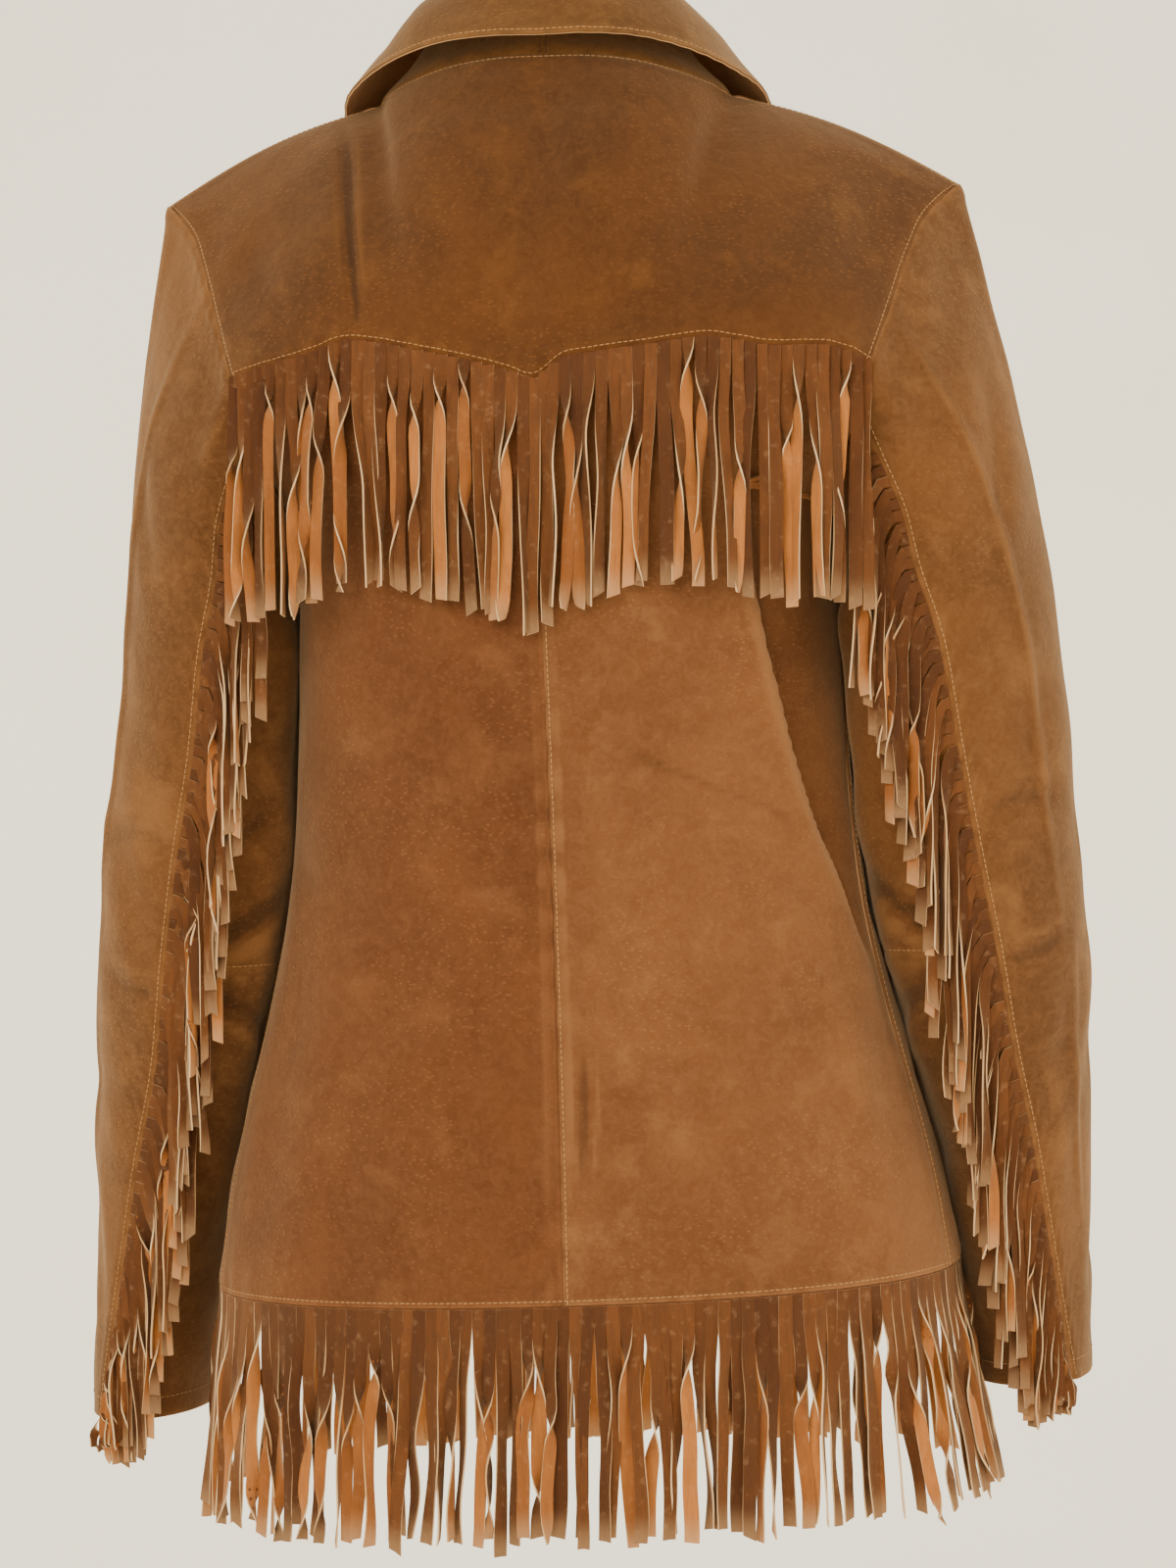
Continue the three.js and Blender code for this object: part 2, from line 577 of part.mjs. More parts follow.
// The direction from an edge point into the piece, away from those of its edges that are sewn.
function inwardAt(grid, i, j, sewn) {
  const point = grid[i][j];
  const last = { row: grid.length - 1, column: grid[0].length - 1 };
  const alongRow = grid[i][Math.min(j + 1, last.column)].clone().sub(grid[i][Math.max(j - 1, 0)]).normalize();
  const alongColumn = grid[Math.min(i + 1, last.row)][j].clone().sub(grid[Math.max(i - 1, 0)][j]).normalize();
  const sum = new THREE.Vector3();
  const towards = (other, edge) => {
    const way = other.clone().sub(point);
    sum.add(way.addScaledVector(edge, -way.dot(edge)).normalize());
  };
  if (i === 0 && sewn.includes("first row")) towards(grid[1][j], alongRow);
  if (i === last.row && sewn.includes("last row")) towards(grid[last.row - 1][j], alongRow);
  if (j === 0 && sewn.includes("first column")) towards(grid[i][1], alongColumn);
  if (j === last.column && sewn.includes("last column")) towards(grid[i][last.column - 1], alongColumn);
  return sum.length() > 0 ? sum : null;
}

const keyOf = (point) => [point.x, point.y, point.z].map((v) => Math.round(v * KEY_STEP)).join();

// A closed solid between an outer and an inner grid of the same size.
function solidBetween(outer, inner, flip) {
  const columns = outer[0].length;
  const count = outer.length * columns;
  const positions = [...outer.flat(), ...inner.flat()].flatMap((point) => point.toArray());
  const indices = [];
  const face = (a, b, c, d) => indices.push(...(flip > 0 ? [a, b, c, a, c, d] : [a, c, b, a, d, c]));
  for (let i = 0; i + 1 < outer.length; i++) {
    for (let j = 0; j + 1 < columns; j++) {
      const a = i * columns + j;
      face(a, a + 1, a + 1 + columns, a + columns);
      face(count + a, count + a + columns, count + a + 1 + columns, count + a + 1);
    }
  }
  const border = [];
  for (let j = 0; j + 1 < columns; j++) border.push(j);
  for (let i = 0; i + 1 < outer.length; i++) border.push(i * columns + columns - 1);
  for (let j = columns - 1; j > 0; j--) border.push((outer.length - 1) * columns + j);
  for (let i = outer.length - 1; i > 0; i--) border.push(i * columns);
  border.forEach((a, k) => {
    const b = border[(k + 1) % border.length];
    face(a, count + a, count + b, b);
  });
  const geometry = new THREE.BufferGeometry();
  geometry.setAttribute("position", new THREE.Float32BufferAttribute(positions, 3));
  geometry.setIndex(indices);
  geometry.computeVertexNormals();
  return geometry;
}

// The smallest shift found that takes a point its share of the gap away from all its neighbours.
function clearOf(directions) {
  const shift = new THREE.Vector3();
  for (let round = 0; round < ROUNDS; round++) {
    for (const direction of directions) {
      shift.addScaledVector(direction, Math.max(SEAM_SHARE - shift.dot(direction), 0));
    }
  }
  return shift;
}

// The walls of all sewn pieces: each is set back at a seam as its neighbour needs.
function sewnWalls(pieces) {
  const meetings = new Map();
  for (const piece of pieces) {
    piece.grid.forEach((row) => row.forEach((point) => wornSet(point)));
    piece.normals = gridNormals(piece.grid, piece.flip);
    piece.grid.forEach((row, i) =>
      row.forEach((point, j) => {
        const inward = inwardAt(piece.grid, i, j, piece.sewn);
        if (!inward) return;
        const key = keyOf(point);
        if (!meetings.has(key)) meetings.set(key, []);
        meetings.get(key).push({ piece, inward, normal: piece.normals[i][j] });
      }),
    );
  }
  for (const piece of pieces) {
    const inner = [];
    const outer = [];
    piece.grid.forEach((row, i) => {
      inner.push([]);
      outer.push([]);
      row.forEach((point, j) => {
        const normal = piece.normals[i][j];
        const own = meetings.get(keyOf(point))?.find((meeting) => meeting.piece === piece);
        const others = own ? meetings.get(keyOf(point)).filter((meeting) => meeting.piece !== piece) : [];
        const away = [];
        let mitre = 0;
        for (const other of others) {
          const between = own.inward.clone().normalize().sub(other.inward.clone().normalize());
          if (normal.dot(other.inward) > SMALL_TURN) {
            between.sub(normal).add(other.normal);
          } else {
            const cosine = Math.max(normal.dot(other.normal), SHARPEST);
            mitre = Math.max(mitre, WALL * Math.sqrt((1 - cosine) / (1 + cosine)));
          }
          away.push(between.normalize());
        }
        const apart = clearOf(away);
        outer[i].push(point.clone().add(apart));
        inner[i].push(point.clone().addScaledVector(normal, -WALL).add(apart));
        if (mitre) inner[i][j].addScaledVector(own.inward, mitre * MITRE_EASE);
      });
    });
    piece.geometry = solidBetween(outer, inner, piece.flip);
  }
}

// ---------------------------------------------------------------- fringes and buttons
// How far out the body's back stands at a place across it.
function backDepth(x, z) {
  const section = lookUp(BODY, "z", z);
  if (Math.abs(x) > FREE_HANG * section.half) return 0;
  let angle = 0;
  for (let round = 0; round < ROUNDS; round++) {
    const squared = 1 + section.square * Math.sin(2 * angle) ** 2;
    angle = Math.asin(THREE.MathUtils.clamp(x / (section.half * squared), -1, 1));
  }
  return ring(z, angle).y;
}

// The yoke's strands hang plumb from their seam, off the fullest part of the back above them.
function yokeFringeGrid() {
  const seam = yokeGrid()[0];
  const grid = [seam.map((point) => point.clone().setZ(point.z - FRINGE_START))];
  for (let i = 1; i <= FRINGE_ROWS; i++) {
    const above = grid[i - 1];
    grid.push(
      seam.map((point, j) => {
        const z = point.z - (YOKE_FRINGE * i) / FRINGE_ROWS;
        return new THREE.Vector3(point.x, Math.max(above[j].y, backDepth(point.x, z)), z);
      }),
    );
  }
  return grid.reverse();
}

// The hem's strands go on down from the hem seam and stand out a little at their ends.
function hemFringeGrid(hem) {
  const grid = [];
  for (let i = FRINGE_ROWS; i >= 0; i--) {
    const share = i / FRINGE_ROWS;
    grid.push(
      hem.map((point) => {
        const outward = new THREE.Vector3(point.x, point.y, 0).normalize();
        const end = point.clone().addScaledVector(outward, HEM_FLARE * share);
        end.z -= SEAM_GAP * 2 + (HEM_FRINGE - SEAM_GAP * 2) * share;
        return end;
      }),
    );
  }
  return grid;
}

// A grid turned end for end, with the ends that were last cut short.
function trimmed(grid) {
  return grid.map((row) => {
    const [end, before] = [row[row.length - 1], row[row.length - 2]];
    const cut = end.clone().lerp(before, FRINGE_TRIM / end.distanceTo(before));
    return [...row.slice(0, -1), cut].reverse();
  });
}

// A point at a distance along a row of points, from one of its columns on.
function walk(row, column, distance) {
  let left = distance;
  for (let j = column; j + 1 < row.length; j++) {
    const step = row[j].distanceTo(row[j + 1]);
    if (left <= step) return row[j].clone().lerp(row[j + 1], left / step);
    left -= step;
  }
  return row[row.length - 1].clone();
}

// The sleeve's strands lie on the under sleeve beside the back seam, and end past the cuff.
function sleeveFringeGrid(side) {
  const rows = sleeveRows(side).slice(SLEEVE_FRINGE_FIRST);
  const grid = rows.map((row, i) => {
    const width = SLEEVE_FRINGE_WIDTH * Math.min((i + 2) / SPREAD_SECTIONS, 1);
    const line = [];
    for (let k = 0; k <= SLEEVE_FRINGE_COLUMNS; k++) {
      line.push(mirror(walk(row, BACK_SEAM_COLUMN, 1 + (width * k) / SLEEVE_FRINGE_COLUMNS), side));
    }
    return line;
  });
  const cuff = grid[grid.length - 1];
  grid.push(cuff.map((point) => point.clone().setZ(point.z - CUFF_FRINGE)));
  return grid;
}

// A strip of strands: a plain wall between two distances off the surface that it lies on.
function strip(grid, flip, near, far) {
  grid.forEach((row) => row.forEach((point) => wornSet(point)));
  const normals = gridNormals(grid, flip);
  const moved = (distance) =>
    grid.map((row, i) => row.map((point, j) => point.clone().addScaledVector(normals[i][j], distance)));
  return solidBetween(moved(far), moved(near), flip);
}

// A round button with a raised rim and a dished middle, its back at the origin, facing +Y.
function buttonGeometry() {
  const rim = BUTTON_RADIUS;
  const dish = BUTTON_THICKNESS - BUTTON_BEVEL;
  const profile = [
    [0, 0],
    [rim - BUTTON_BEVEL, 0],
    [rim, BUTTON_BEVEL],
    [rim, dish],
    [rim - BUTTON_BEVEL, BUTTON_THICKNESS],
    [rim - BUTTON_RIM, BUTTON_THICKNESS],
    [rim - BUTTON_RIM - BUTTON_SLOPE, dish],
    [0, dish],
  ];
  return new THREE.LatheGeometry(profile.map(([x, y]) => new THREE.Vector2(x, y)), BUTTON_SIDES);
}

// Where a button sits: on the upper front, over the centre front, and the way it faces.
function buttonSeat(front, z) {
  const i = front.grid.findIndex((row) => row[1].z > z) - 1;
  const [low, high] = [front.grid[i][1], front.grid[i + 1][1]];
  const share = (z - low.z) / (high.z - low.z);
  const facing = front.normals[i][1].clone().lerp(front.normals[i + 1][1], share).normalize();
  return { point: low.clone().lerp(high, share), facing };
}

// ---------------------------------------------------------------- finishes and the scene graph
const SUEDE = { color: 0x8c5a2d, roughness: 0.95, metalness: 0 };
const SUEDE_COLLAR = { color: 0x86552a, roughness: 0.95, metalness: 0 };
const SUEDE_FRINGE = { color: 0xa3682f, roughness: 0.9, metalness: 0 };
const HORN = { color: 0x4a2c16, roughness: 0.45, metalness: 0 };

const group = new THREE.Group();
function add(name, geometry, finish) {
  const mesh = new THREE.Mesh(geometry, new THREE.MeshStandardMaterial(finish));
  mesh.name = name;
  group.add(mesh);
  return mesh;
}

const SIDES = [
  { name: "left", sign: 1 },
  { name: "right", sign: -1 },
];
const lastSleeveRow = SLEEVE.length - 1;
const allRound = ["first row", "last row", "first column", "last column"];
const pieces = [{ name: "back_yoke", grid: yokeGrid(), flip: -1, sewn: allRound, finish: SUEDE }];
for (const { name, sign } of SIDES) {
  const sleeve = (label, rows, columns, sewn) =>
    pieces.push({
      name: `sleeve_${label}_${name}`,
      grid: sleeveGrid(sign, ...rows, ...columns),
      flip: -sign,
      sewn,
      finish: SUEDE,
    });
  pieces.push({
    name: `back_${name}`,
    grid: backGrid(sign),
    flip: -sign,
    sewn: ["last row", "first column", "last column"],
    finish: SUEDE,
  });
  pieces.push({
    name: `front_${name}`,
    grid: frontGrid(sign),
    flip: sign,
    sewn: ["last row", "last column"],
    finish: SUEDE,
  });
  sleeve(
    "upper",
    [0, lastSleeveRow],
    [FRONT_SEAM_COLUMN - SLEEVE_COLUMNS, BACK_SEAM_COLUMN],
    ["first row", "first column", "last column"],
  );
  sleeve("under_top", [0, ELBOW_ROW], [BACK_SEAM_COLUMN, FRONT_SEAM_COLUMN], allRound);
  sleeve(
    "under_low",
    [ELBOW_ROW, lastSleeveRow],
    [BACK_SEAM_COLUMN, FRONT_SEAM_COLUMN],
    ["first row", "first column", "last column"],
  );
  pieces.push({
    name: `collar_stand_${name}`,
    grid: standGrid(sign),
    flip: -sign,
    sewn: ["first row", "first column"],
    finish: SUEDE_COLLAR,
  });
}
pieces.push({ name: "collar_fall", grid: fallGrid(), flip: -1, sewn: [], finish: SUEDE_COLLAR });
sewnWalls(pieces);
for (const { name, geometry, finish } of pieces) add(name, geometry, finish);

add("fringe_yoke", strip(yokeFringeGrid(), -1, FRINGE_OFF, FRINGE_OFF + FRINGE_WALL), SUEDE_FRINGE);
const [backRight, backLeft] = [backGrid(-1)[0], backGrid(1)[0]];
const hemBack = hemFringeGrid([...backRight.slice(1).reverse(), ...backLeft]);
add("fringe_hem_back", strip(trimmed(trimmed(hemBack)), -1, HEM_STRIP.near, HEM_STRIP.far), SUEDE_FRINGE);
for (const { name, sign } of SIDES) {
  const hem = trimmed(hemFringeGrid(frontGrid(sign)[0])).map((row) => row.reverse());
  add(`fringe_hem_front_${name}`, strip(hem, sign, HEM_STRIP.near, HEM_STRIP.far), SUEDE_FRINGE);
  const far = SLEEVE_FRINGE_OFF + FRINGE_WALL;
  const sleeve = strip(sleeveFringeGrid(sign), -sign, SLEEVE_FRINGE_OFF, far);
  add(`fringe_sleeve_${name}`, sleeve, SUEDE_FRINGE);
}

const upperFront = pieces.find((piece) => piece.name === "front_left");
BUTTON_Z.forEach((z, index) => {
  const button = add(`button_${index + 1}`, buttonGeometry(), HORN);
  const { point, facing } = buttonSeat(upperFront, z);
  button.position.copy(point).addScaledVector(facing, BUTTON_GAP);
  button.quaternion.setFromUnitVectors(new THREE.Vector3(0, 1, 0), facing);
});

export default group;
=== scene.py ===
# A fringed suede jacket, worn and closed, with the arms hanging: its looks, over the CAD frame.
# Shapes are worked out in millimetres, with +Z up, the front to -Y and the wearer's left to +X.
import math
import bpy
import numpy as np
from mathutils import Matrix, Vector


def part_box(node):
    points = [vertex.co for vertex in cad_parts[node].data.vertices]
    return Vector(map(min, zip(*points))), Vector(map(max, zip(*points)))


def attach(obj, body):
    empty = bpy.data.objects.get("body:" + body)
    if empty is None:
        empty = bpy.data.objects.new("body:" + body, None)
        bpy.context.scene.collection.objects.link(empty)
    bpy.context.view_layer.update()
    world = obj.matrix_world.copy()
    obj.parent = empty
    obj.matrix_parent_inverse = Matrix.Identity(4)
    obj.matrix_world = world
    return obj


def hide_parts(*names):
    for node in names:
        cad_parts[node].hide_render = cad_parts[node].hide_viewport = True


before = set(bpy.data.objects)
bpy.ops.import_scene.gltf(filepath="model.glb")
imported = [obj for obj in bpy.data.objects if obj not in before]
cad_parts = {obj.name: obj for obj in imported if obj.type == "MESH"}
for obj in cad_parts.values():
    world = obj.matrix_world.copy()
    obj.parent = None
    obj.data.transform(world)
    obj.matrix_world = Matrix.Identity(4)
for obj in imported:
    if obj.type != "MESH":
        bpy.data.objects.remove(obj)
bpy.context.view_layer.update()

MM = 0.001
chance = np.random.default_rng(7)

# ---------------------------------------------------------------- sizes of the cut, as in the CAD part
LEAN, HEM_TILT, HEM_Z, UNDERARM_Z = 14, 0.045, -657, -258
LAP, LAP_FLAT, LAP_BLEND, PLY_LIFT = 14, 10, 45, 3.6
YOKE_FRINGE, SLEEVE_FRINGE, HEM_FRINGE, HEM_FLARE, FREE_HANG = 128, 118, 120, 8, 0.9
HEM_SWEEP = 16  # how far the hem strands stand out sideways at the wearer's right
YOKE_GAP = 0.575  # where the yoke's fringe parts, as a share of its seam
GAP_PUSH, GAP_REACH = 5.5, 17  # how far its strands are pushed aside, and over what stretch
YOKE_SPACE, SLEEVE_SPACE, HEM_SPACE = 0.15, 0.1, 0.05  # between strands at their roots
YOKE_STRIP, HEM_STRIP = 6.5, 7.5  # uncut cloth that the strands hang from
SLEEVE_FRINGE_TOP = -222  # height of its highest strand
ARM_CLEARANCE, SHOULDER_CROWN, COLLAR_END = 1.6, 7, 3
HALF_COLUMNS, NECK_COLUMNS, YOKE_ROWS, SIDE_ROWS = 12, 5, 7, 8
BACK_ARMHOLE_ROWS, FRONT_ARMHOLE_ROWS, COLLAR_ROWS, ELBOW_ROW = 5, 9, 3, 8
THICK = 1.5  # of the suede
EDGE_GAP, EDGE_ROUND = 0.04, 0.12  # each sewn edge's share of the seam, and how round its cut is
STRAND, SLEEVE_STRAND, HEM_STRAND = 6.2, 5.8, 6.7  # widths of a strand
STRAND_THICK = 0.9


def table(names, *rows):
    """A table with named columns, as arrays."""
    return {name: np.array([row[i] for row in rows], float) for i, name in enumerate(names.split())}


def points(*rows):
    return np.array(rows, float)


BODY = table(
    "z half back front square seam_y",
    (-657, 204, 116, 113, 0.04, 36),
    (-597, 194, 112, 110, 0.04, 33),
    (-552, 182, 109, 108, 0.05, 30),
    (-487, 165, 106, 107, 0.05, 24),
    (-430, 155, 104, 109, 0.05, 18),
    (-370, 151, 105, 114, 0.05, 13),
    (-309, 148, 108, 119, 0.06, 10),
    (-258, 148, 110, 120, 0.06, 8),
    (-236, 161, 110, 119, 0.08, 8),
    (-215, 176, 109, 117, 0.1, 8),
    (-184, 196, 108, 113, 0.12, 8),
    (-160, 203, 107, 110, 0.13, 8),
)
ARMHOLE_YOKE = points(
    (219, 5, -69.5), (212, 15, -76), (200.5, 28, -88.5), (188, 48, -117), (178, 65, -147), (168, 81, -176)
)
ARMHOLE_BACK = points(
    (168, 81, -176), (162, 78, -196), (153.5, 65, -223), (147, 40, -247), (147.5, 8, -258)
)
ARMHOLE_FRONT = points(
    (147.5, 8, -258), (149, -28, -251), (157, -55, -224), (168, -62, -188),
    (178, -55, -155), (189, -42, -124), (204, -22, -94), (219, 5, -69.5),
)
NECK_BACK = points((0, 62, -6), (35, 59.5, -7), (62, 50, -11), (85, 33, -16), (97, 8, -18))
NECK_FRONT = points(
    (97, 8, -18), (96, -20, -26), (82, -51, -42), (52, -77, -64), (22, -90, -79), (0, -93, -82)
)
YOKE_EDGE_RIGHT = table(
    "x z", (-168, -176), (-150, -168.5), (-114, -168.5), (-87, -164),
    (-57, -167.5), (-24, -171.5), (-5, -176), (3.5, -184),
)
YOKE_EDGE_LEFT = table(
    "x z", (3.5, -184), (31, -175.5), (61, -168.5), (101, -161.5), (123, -167.5), (168, -176)
)
YOKE_MIDDLE = 3.5
# upright start at the foot, then how far behind and below the top edge: at the neck, at the shoulder
YOKE_RISE = {"lift": (62, 52), "back": (27, 40), "drop": (44, 8)}
FRONT_RISE = {"lift": (60, 95), "back": (14, 48), "drop": (50, 10)}
# the long fold of the right back, from the side seam's foot up to under the yoke's fringe
FOLD = table(
    "z ridge depth", (-560, 172, 0), (-495, 160, 5), (-441, 141, 11), (-389, 124, 15),
    (-304, 106, 13), (-250, 99, 6), (-200, 96, 0),
)
SLEEVE = table(
    "ox oz ix iz y deep back front left right",
    (219, -69.5, 147.5, -258, 6, 75, 100, 255, 0, 0),
    (223.5, -93, 148.5, -265, 5, 75, 103, 255, -1, 1),
    (232, -137, 149.5, -275, 4, 73, 106, 255, -2.5, 3),
    (242, -190, 149.5, -288, 2, 70, 104, 254, -5, 4),
    (250.5, -250, 140, -306, -1, 67, 98, 253, -7, 6),
    (256, -309, 136, -334, -5, 64, 90, 252, -6, 8),
    (262, -370, 139, -380, -8, 62, 87, 250, -5, 8),
    (268, -425, 143, -428, -12, 60, 83, 248, -1, 5),
    (272, -488, 152, -488, -17, 58, 79, 246, 0, 5),
    (274, -540, 165, -540, -24, 55, 78, 243, 2, 4),
    (274.5, -590, 182, -590, -30, 53, 74, 240, 5, 2),
    (275, -645, 197, -645, -37, 50, 68, 236, 8, 0),
    (275.5, -695, 203, -695, -43, 48, 60, 230, 13, 0),
    (274, -732, 206, -732, -47, 47, 50, 225, 17, 1),
)
COLLAR = table(
    "at roll_in roll_up fall_out fall_up fall_side",
    (0, 14, 43, 19, 4, 0), (0.25, 24, 46, 20, 5, 0), (0.5, 38, 50, 18, -2, 2),
    (0.75, 18, 36, 28, -18, 16), (1, 2, 22, 24, -46, 46),
)
ROLL_RISE, ROLL_OUT = 7, 15
BUTTONS = 5


# ---------------------------------------------------------------- curves
def look_up(rows, key, value):
    """All columns of a table at values of its key column, on a smooth curve through the rows."""
    keys = rows[key]
    sign = np.sign(keys[-1] - keys[0])
    value = np.asarray(value, float)
    i = np.clip(np.searchsorted(sign * keys, sign * value) - 1, 0, len(keys) - 2)
    before, after = np.maximum(i - 1, 0), np.minimum(i + 2, len(keys) - 1)
    span = keys[i + 1] - keys[i]
    t = np.clip((value - keys[i]) / span, 0, 1)
    found = {key: value}
    for name, c in rows.items():
        if name == key:
            continue
        slope_a = (c[i + 1] - c[before]) / (keys[i + 1] - keys[before]) * span
        slope_b = (c[after] - c[i]) / (keys[after] - keys[i]) * span
        found[name] = (
            c[i] * (1 + 2 * t) * (1 - t) ** 2 + slope_a * t * (1 - t) ** 2
            + c[i + 1] * t ** 2 * (3 - 2 * t) - slope_b * t ** 2 * (1 - t)
        )
    return found


def smoothstep(x, a, b):
    t = np.clip((np.asarray(x, float) - a) / (b - a), 0, 1)
    return t * t * (3 - 2 * t)


def lerp(a, b, t):
    return a + (b - a) * t


def unit(v):
    return v / np.maximum(np.linalg.norm(v, axis=-1, keepdims=True), 1e-9)


def bezier(a, b, c, d, t):
    return a * (1 - t) ** 3 + 3 * b * t * (1 - t) ** 2 + 3 * c * t ** 2 * (1 - t) + d * t ** 3


def columns_at(at, line, values):
    """Each column of the values, found at distances along a line."""
    return np.stack([np.interp(at, line, values[:, k]) for k in range(values.shape[1])], -1)


def curve_at(rows, t):
    """Points of a centripetal curve through the rows, at shares of its rows."""
    p = np.vstack([2 * rows[0] - rows[1], rows, 2 * rows[-1] - rows[-2]])
    place = t * (len(rows) - 1)
    i = np.minimum(place.astype(int), len(rows) - 2)
    w = (place - i)[:, None]
    a, b, c, d = p[i], p[i + 1], p[i + 2], p[i + 3]
    root = lambda v: np.sqrt(np.linalg.norm(v, axis=1, keepdims=True))
    d0, d1, d2 = root(b - a), root(c - b), root(d - c)
    t1 = ((b - a) / d0 - (c - a) / (d0 + d1) + (c - b) / d1) * d1
    t2 = ((c - b) / d1 - (d - b) / (d1 + d2) + (d - c) / d2) * d1
    return b + t1 * w + (-3 * b + 3 * c - 2 * t1 - t2) * w ** 2 + (2 * b - 2 * c + t1 + t2) * w ** 3


def spaced(rows, steps):
    """Evenly spaced points on the curve through the rows."""
    t = np.linspace(0, 1, 201)
    run = lengths(curve_at(rows, t))
    return curve_at(rows, np.interp(np.linspace(0, run[-1], steps + 1), run, t))


def lengths(line):
    """Distance of each point of a line from its first."""
    return np.concatenate([[0], np.cumsum(np.linalg.norm(np.diff(line, axis=0), axis=1))])


def cubic(grid, count, axis=0):
    """A grid of points made finer along one axis, on smooth curves."""
    g = np.moveaxis(grid, axis, 0)
    t = np.linspace(0, len(g) - 1, count)
    i = np.minimum(t.astype(int), len(g) - 2)
    x = (t - i).reshape(-1, *[1] * (g.ndim - 1))
    e = np.concatenate([2 * g[:1] - g[1:2], g, 2 * g[-1:] - g[-2:-1]])
    a, b, c, d = e[i], e[i + 1], e[i + 2], e[i + 3]
    made = b + 0.5 * x * (c - a + x * (2 * a - 5 * b + 4 * c - d + x * (3 * (b - c) + d - a)))
    return np.moveaxis(made, 0, axis)


armhole_yoke = spaced(ARMHOLE_YOKE, YOKE_ROWS)[::-1]
armhole_back = spaced(ARMHOLE_BACK, BACK_ARMHOLE_ROWS)[::-1]
armhole_front = spaced(ARMHOLE_FRONT, FRONT_ARMHOLE_ROWS)
neck_back = spaced(NECK_BACK, NECK_COLUMNS)
neck_front = spaced(NECK_FRONT, NECK_COLUMNS)[::-1]
columns = np.arange(HALF_COLUMNS + 1)


def top_edge(neck):
    share = (columns[NECK_COLUMNS + 1:] - NECK_COLUMNS) / (HALF_COLUMNS - NECK_COLUMNS)
    shoulder = lerp(neck_back[-1], ARMHOLE_YOKE[0], share[:, None])
    shoulder[:, 2] += SHOULDER_CROWN * np.sin(math.pi * share)
    return np.vstack([neck, shoulder])


# ---------------------------------------------------------------- the body's surface
def ring(z, angle):
    """Points of the body at heights and angles from the centre back."""
    s = look_up(BODY, "z", z)
    squared = 1 + s["square"] * np.sin(2 * angle) ** 2
    depth = np.where(np.cos(angle) > 0, s["back"], s["front"])
    parts = (s["half"] * np.sin(angle) * squared, depth * np.cos(angle) * squared, np.asarray(z, float))
    return np.stack(np.broadcast_arrays(*parts), -1)


def angle_of(p):
    s = look_up(BODY, "z", p[..., 2])
    return np.arctan2(p[..., 0] / s["half"], p[..., 1] / np.where(p[..., 1] > 0, s["back"], s["front"]))


def row_points(z, share, edge, start):
    """Points of a row of the body that ends at the edge point."""
    end = angle_of(edge)
    miss = edge - ring(edge[..., 2], end)
    return ring(z, lerp(start, end, share)) + miss * np.asarray(share)[..., None] ** 3


side_z = lerp(HEM_Z, UNDERARM_Z, np.arange(SIDE_ROWS) / SIDE_ROWS)
side_section = look_up(BODY, "z", side_z)
side_edge = ring(side_z, np.arccos(side_section["seam_y"] / side_section["back"]))
back_edge = np.vstack([side_edge, armhole_back])


def yoke_foot(side):
    """The lower edge of the yoke, from the centre back to a side."""
    share = columns / HALF_COLUMNS
    corner = armhole_back[-1]
    level = row_points(np.full(len(share), corner[2]), share, corner, 0)
    x = side * level[:, 0] + YOKE_MIDDLE * (1 - share)
    right, left = (look_up(rows, "x", x)["z"] for rows in (YOKE_EDGE_RIGHT, YOKE_EDGE_LEFT))
    z = np.where(x < YOKE_MIDDLE, right, left)
    z[-1] = corner[2]
    edge = np.repeat(corner[None], len(share), 0)
    edge[:, 2] = z
    foot = row_points(z, share, edge, 0)
    return np.stack([x, foot[:, 1], z], -1)


def rise(foot, top, up, across, upright, outward):
    """Cubic curves that start upright and come to the top edge over the outside of the piece."""
    lift, back, drop = (lerp(*upright[name], across) for name in ("lift", "back", "drop"))
    first = np.stack([lerp(foot[:, 0], top[:, 0], 0.15), foot[:, 1], foot[:, 2] + lift], -1)
    second = np.stack([lerp(foot[:, 0], top[:, 0], 0.92), top[:, 1] + outward * back, top[:, 2] - drop], -1)
    return bezier(foot, first, second, top, up)


def risen_rows(foot, neck, armhole, upright, outward, side):
    """Rows from a foot row to the top edge, ending at the armhole on their outer side."""
    mirrored = np.array([side, 1, 1])
    top = top_edge(neck) * mirrored
    across = np.minimum(columns / NECK_COLUMNS, 1)
    grid = []
    for point in armhole:
        up = (point[2] - armhole[0][2]) / (armhole[-1][2] - armhole[0][2])
        row = rise(foot, top, up, across, upright, outward)
        row += (point * mirrored - row[-1]) * ((columns / HALF_COLUMNS) ** 2.5)[:, None]
        grid.append(row)
    return np.array(grid)


def yoke_grid():
    halves = [risen_rows(yoke_foot(s), neck_back, armhole_yoke, YOKE_RISE, 1, s) for s in (-1, 1)]
    return np.concatenate([halves[0][:, :0:-1], halves[1]], 1)


def back_grid(side):
    foot, share = yoke_foot(side), columns / HALF_COLUMNS
    grid = []
    for n, edge in enumerate(back_edge):
        up = (edge[2] - HEM_Z) / (back_edge[-1][2] - HEM_Z)
        z = lerp(HEM_Z, foot[:, 2], up)
        ends = np.repeat(edge[None], len(z), 0)
        ends[:, 2] = z
        row = row_points(z, share, ends, 0) * (side, 1, 1)
        row[:, 0] += YOKE_MIDDLE * (1 - share) * smoothstep(up, 0, 1)
        if n == len(back_edge) - 1:
            row = foot.copy()
        row[-1] = edge * (side, 1, 1)
        grid.append(row)
    return np.array(grid)


